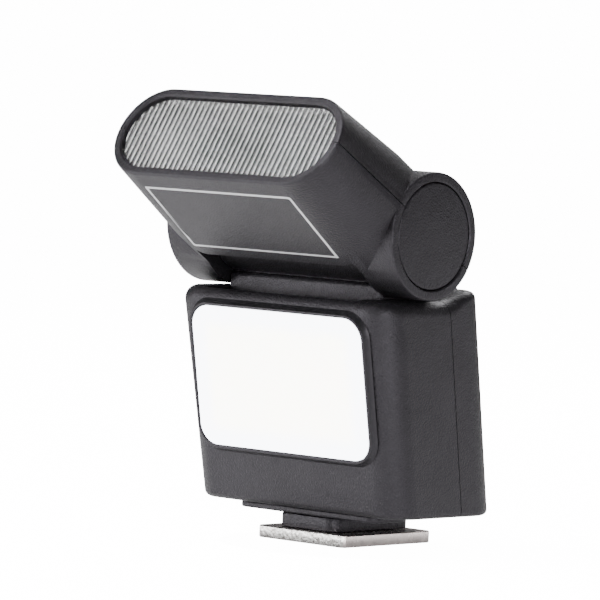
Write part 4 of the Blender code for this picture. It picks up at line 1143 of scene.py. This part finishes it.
def buildSprings():
    low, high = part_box("contact_spring")
    values = {"Radius": 1.35 * mm, "Wire": 0.16 * mm, "Length": high.z - low.z - 0.34 * mm, "Turns": 4.0, "Material": paints["spring"]}
    spring = grow("contactSpring", woundSpring, values, Matrix.Translation((0, 0, low.z + 0.17 * mm)))
    finishPiece(spring, "body", paints["spring"], ["contact_spring"])
    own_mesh(spring)
    low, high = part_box("detent_spring")
    values = {"Radius": 0.75 * mm, "Wire": 0.15 * mm, "Length": high.x - low.x - 0.32 * mm, "Turns": 4.0, "Material": paints["spring"]}
    middle = (low + high) / 2
    place = Matrix.Translation((low.x + 0.16 * mm, middle.y, middle.z)) @ Matrix.Rotation(math.radians(90), 4, "Y")
    spring = grow("detentSpring", woundSpring, values, place)
    finishPiece(spring, "body", paints["spring"], ["detent_spring"])


buildSprings()


def buildContact():
    pin = [(0.25 * mm, -0.9 * mm), (0.7 * mm, -0.78 * mm), (1.0 * mm, -0.5 * mm), (1.1 * mm, -0.1 * mm), (1.1 * mm, 2.1 * mm),
           (1.9 * mm, 2.1 * mm), (1.9 * mm, 2.6 * mm), (0.6 * mm, 2.6 * mm), (0.6 * mm, 3.6 * mm)]
    finishPiece(makeObject("contactPin", turned(pin, "Z", 48)), "contact_pin", paints["brass"], ["contact_pin"])


buildContact()

keptFinishes = {
    "steel": ("hinge_axle", "detent_ball", "left_friction_washer", "right_friction_washer", "left_retaining_clip",
              "right_retaining_clip", "test_tact_switch", "dimmer_tact_switch", "brighter_tact_switch"),
    "brass": ("left_hinge_bush", "right_hinge_bush"),
    "rubber": ("left_tube_boot", "right_tube_boot"),
    "board": ("led_board", "main_circuit_board", "trigger_board"),
    "insulator": ("contact_insulator",),
    "sleeve": ("photoflash_capacitor",),
    "cell": ("lithium_cell",),
    "coil": ("step_up_transformer",),
}


def paintKeptNodes():
    for finish, nodes in keptFinishes.items():
        for node in nodes:
            kept = frame["nodes"][node]
            if not kept.material_slots:
                kept.data.materials.append(None)
            for place in kept.material_slots:
                place.material = paints[finish]


paintKeptNodes()


# Studio

studio = {"floorReach": 1.4, "wallReach": 3.2, "wallHeight": 3.0, "seen": 15.0, "floorGlow": 0.72, "wallGlow": 0.05, "floorLit": 0.4}
camera = {"azimuth": 41.92, "elevation": 2.96, "roll": 2.73, "distance": 0.7804, "lens": 293.7,
          "aim": Vector((-1.89, -11.11, 38.68)) * mm}


def buildSweep():
    # A round floor that curves up into a wall, so no view shows its edge
    low = cadBox[0][2]
    bend = studio["wallReach"] - studio["floorReach"]
    rings = [(0.02, 0.0), (0.4, 0.0), (studio["floorReach"], 0.0)]
    for i in range(1, 13):
        turn = math.pi / 2 * i / 12
        rings.append((studio["floorReach"] + bend * math.sin(turn), bend * (1 - math.cos(turn))))
    rings.append((studio["wallReach"], studio["wallHeight"]))
    shape = bmesh.new()
    loops = [[shape.verts.new((r * math.cos(math.tau * k / 96), r * math.sin(math.tau * k / 96), low + z))
              for k in range(96)] for r, z in rings]
    shape.faces.new(loops[0])
    for first, second in zip(loops, loops[1:]):
        for k in range(96):
            shape.faces.new((first[k], first[(k + 1) % 96], second[(k + 1) % 96], second[k]))
    sweep = makeObject("sweep", shape)
    material, tree, sockets, place = startMaterial("palePaper", 0.8)
    sockets["Base Color"].default_value = (0.86, 0.86, 0.86, 1)
    sockets["Specular IOR Level"].default_value = 0.1
    seen = tree.nodes.new("ShaderNodeLightPath").outputs["Is Camera Ray"]
    sockets["Emission Color"].default_value = (1, 1, 1, 1)
    axes = wire(tree, "ShaderNodeSeparateXYZ", {0: place}).outputs
    across = maths(tree, "POWER", maths(tree, "ADD", axes[0], 0.1), 2.0)
    along = maths(tree, "POWER", maths(tree, "ADD", axes[1], 0.16), 2.0)
    away = maths(tree, "SQRT", maths(tree, "ADD", across, along))
    glow = spread(tree, away, 0.05, studio["floorLit"], studio["floorGlow"], studio["wallGlow"])
    wide = wire(tree, "ShaderNodeTexNoise", {"Vector": place, "Scale": 4.0}).outputs[0]
    glow = maths(tree, "MULTIPLY", glow, spread(tree, wide, 0.3, 0.7, 0.97, 1.03))
    brighter = maths(tree, "MULTIPLY", seen, studio["seen"])
    tree.links.new(maths(tree, "MAXIMUM", glow, brighter), sockets["Emission Strength"])
    sweep.data.materials.append(material)
    sweep.data.shade_smooth()


def addLight(name, azimuth, elevation, distance, size, power, colour=(1, 1, 1)):
    turn, lift = math.radians(azimuth), math.radians(elevation)
    aim = Vector((0, -8 * mm, 38 * mm))
    away = Vector((math.sin(turn) * math.cos(lift), -math.cos(turn) * math.cos(lift), math.sin(lift)))
    light = bpy.data.lights.new(name, "AREA")
    light.shape = "RECTANGLE"
    light.size, light.size_y = size
    light.energy = power
    light.color = colour
    made = bpy.data.objects.new(name, light)
    made.location = aim + away * distance
    made.rotation_euler = away.to_track_quat("Z", "Y").to_euler()
    scene.collection.objects.link(made)


def buildCamera():
    turn, lift, roll = (math.radians(camera[key]) for key in ("azimuth", "elevation", "roll"))
    back = Vector((math.sin(turn) * math.cos(lift), -math.cos(turn) * math.cos(lift), math.sin(lift)))
    right = Vector((math.cos(turn), math.sin(turn), 0))
    up = back.cross(right)
    tiltedRight = right * math.cos(roll) + up * math.sin(roll)
    tiltedUp = up * math.cos(roll) - right * math.sin(roll)
    data = bpy.data.cameras.new("camera")
    data.lens = camera["lens"]
    data.sensor_width = 36
    made = bpy.data.objects.new("camera", data)
    turnMatrix = Matrix((tiltedRight, tiltedUp, back)).transposed().to_4x4()
    made.matrix_world = Matrix.Translation(camera["aim"] + back * camera["distance"]) @ turnMatrix
    scene.collection.objects.link(made)
    scene.camera = made


buildSweep()
addLight("keyHigh", -15, 54, 0.6, (0.3, 0.26), 3.8)
addLight("keyLeft", -40, 10, 0.6, (0.3, 0.2), 0.9)
addLight("lowLeft", -44, -2, 0.6, (0.4, 0.1), 0.9)
addLight("stripRight", 56, 4, 0.6, (0.06, 0.3), 2.1)
addLight("fillRight", 138, -1, 0.6, (0.26, 0.08), 0.22)
addLight("rearHigh", 200, 42, 0.6, (0.3, 0.3), 1.6)
world = bpy.data.worlds.new("studio")
world.use_nodes = True
world.node_tree.nodes["Background"].inputs[0].default_value = (1, 1, 1, 1)
world.node_tree.nodes["Background"].inputs[1].default_value = 0.04
scene.world = world
buildCamera()
print("studio ready")
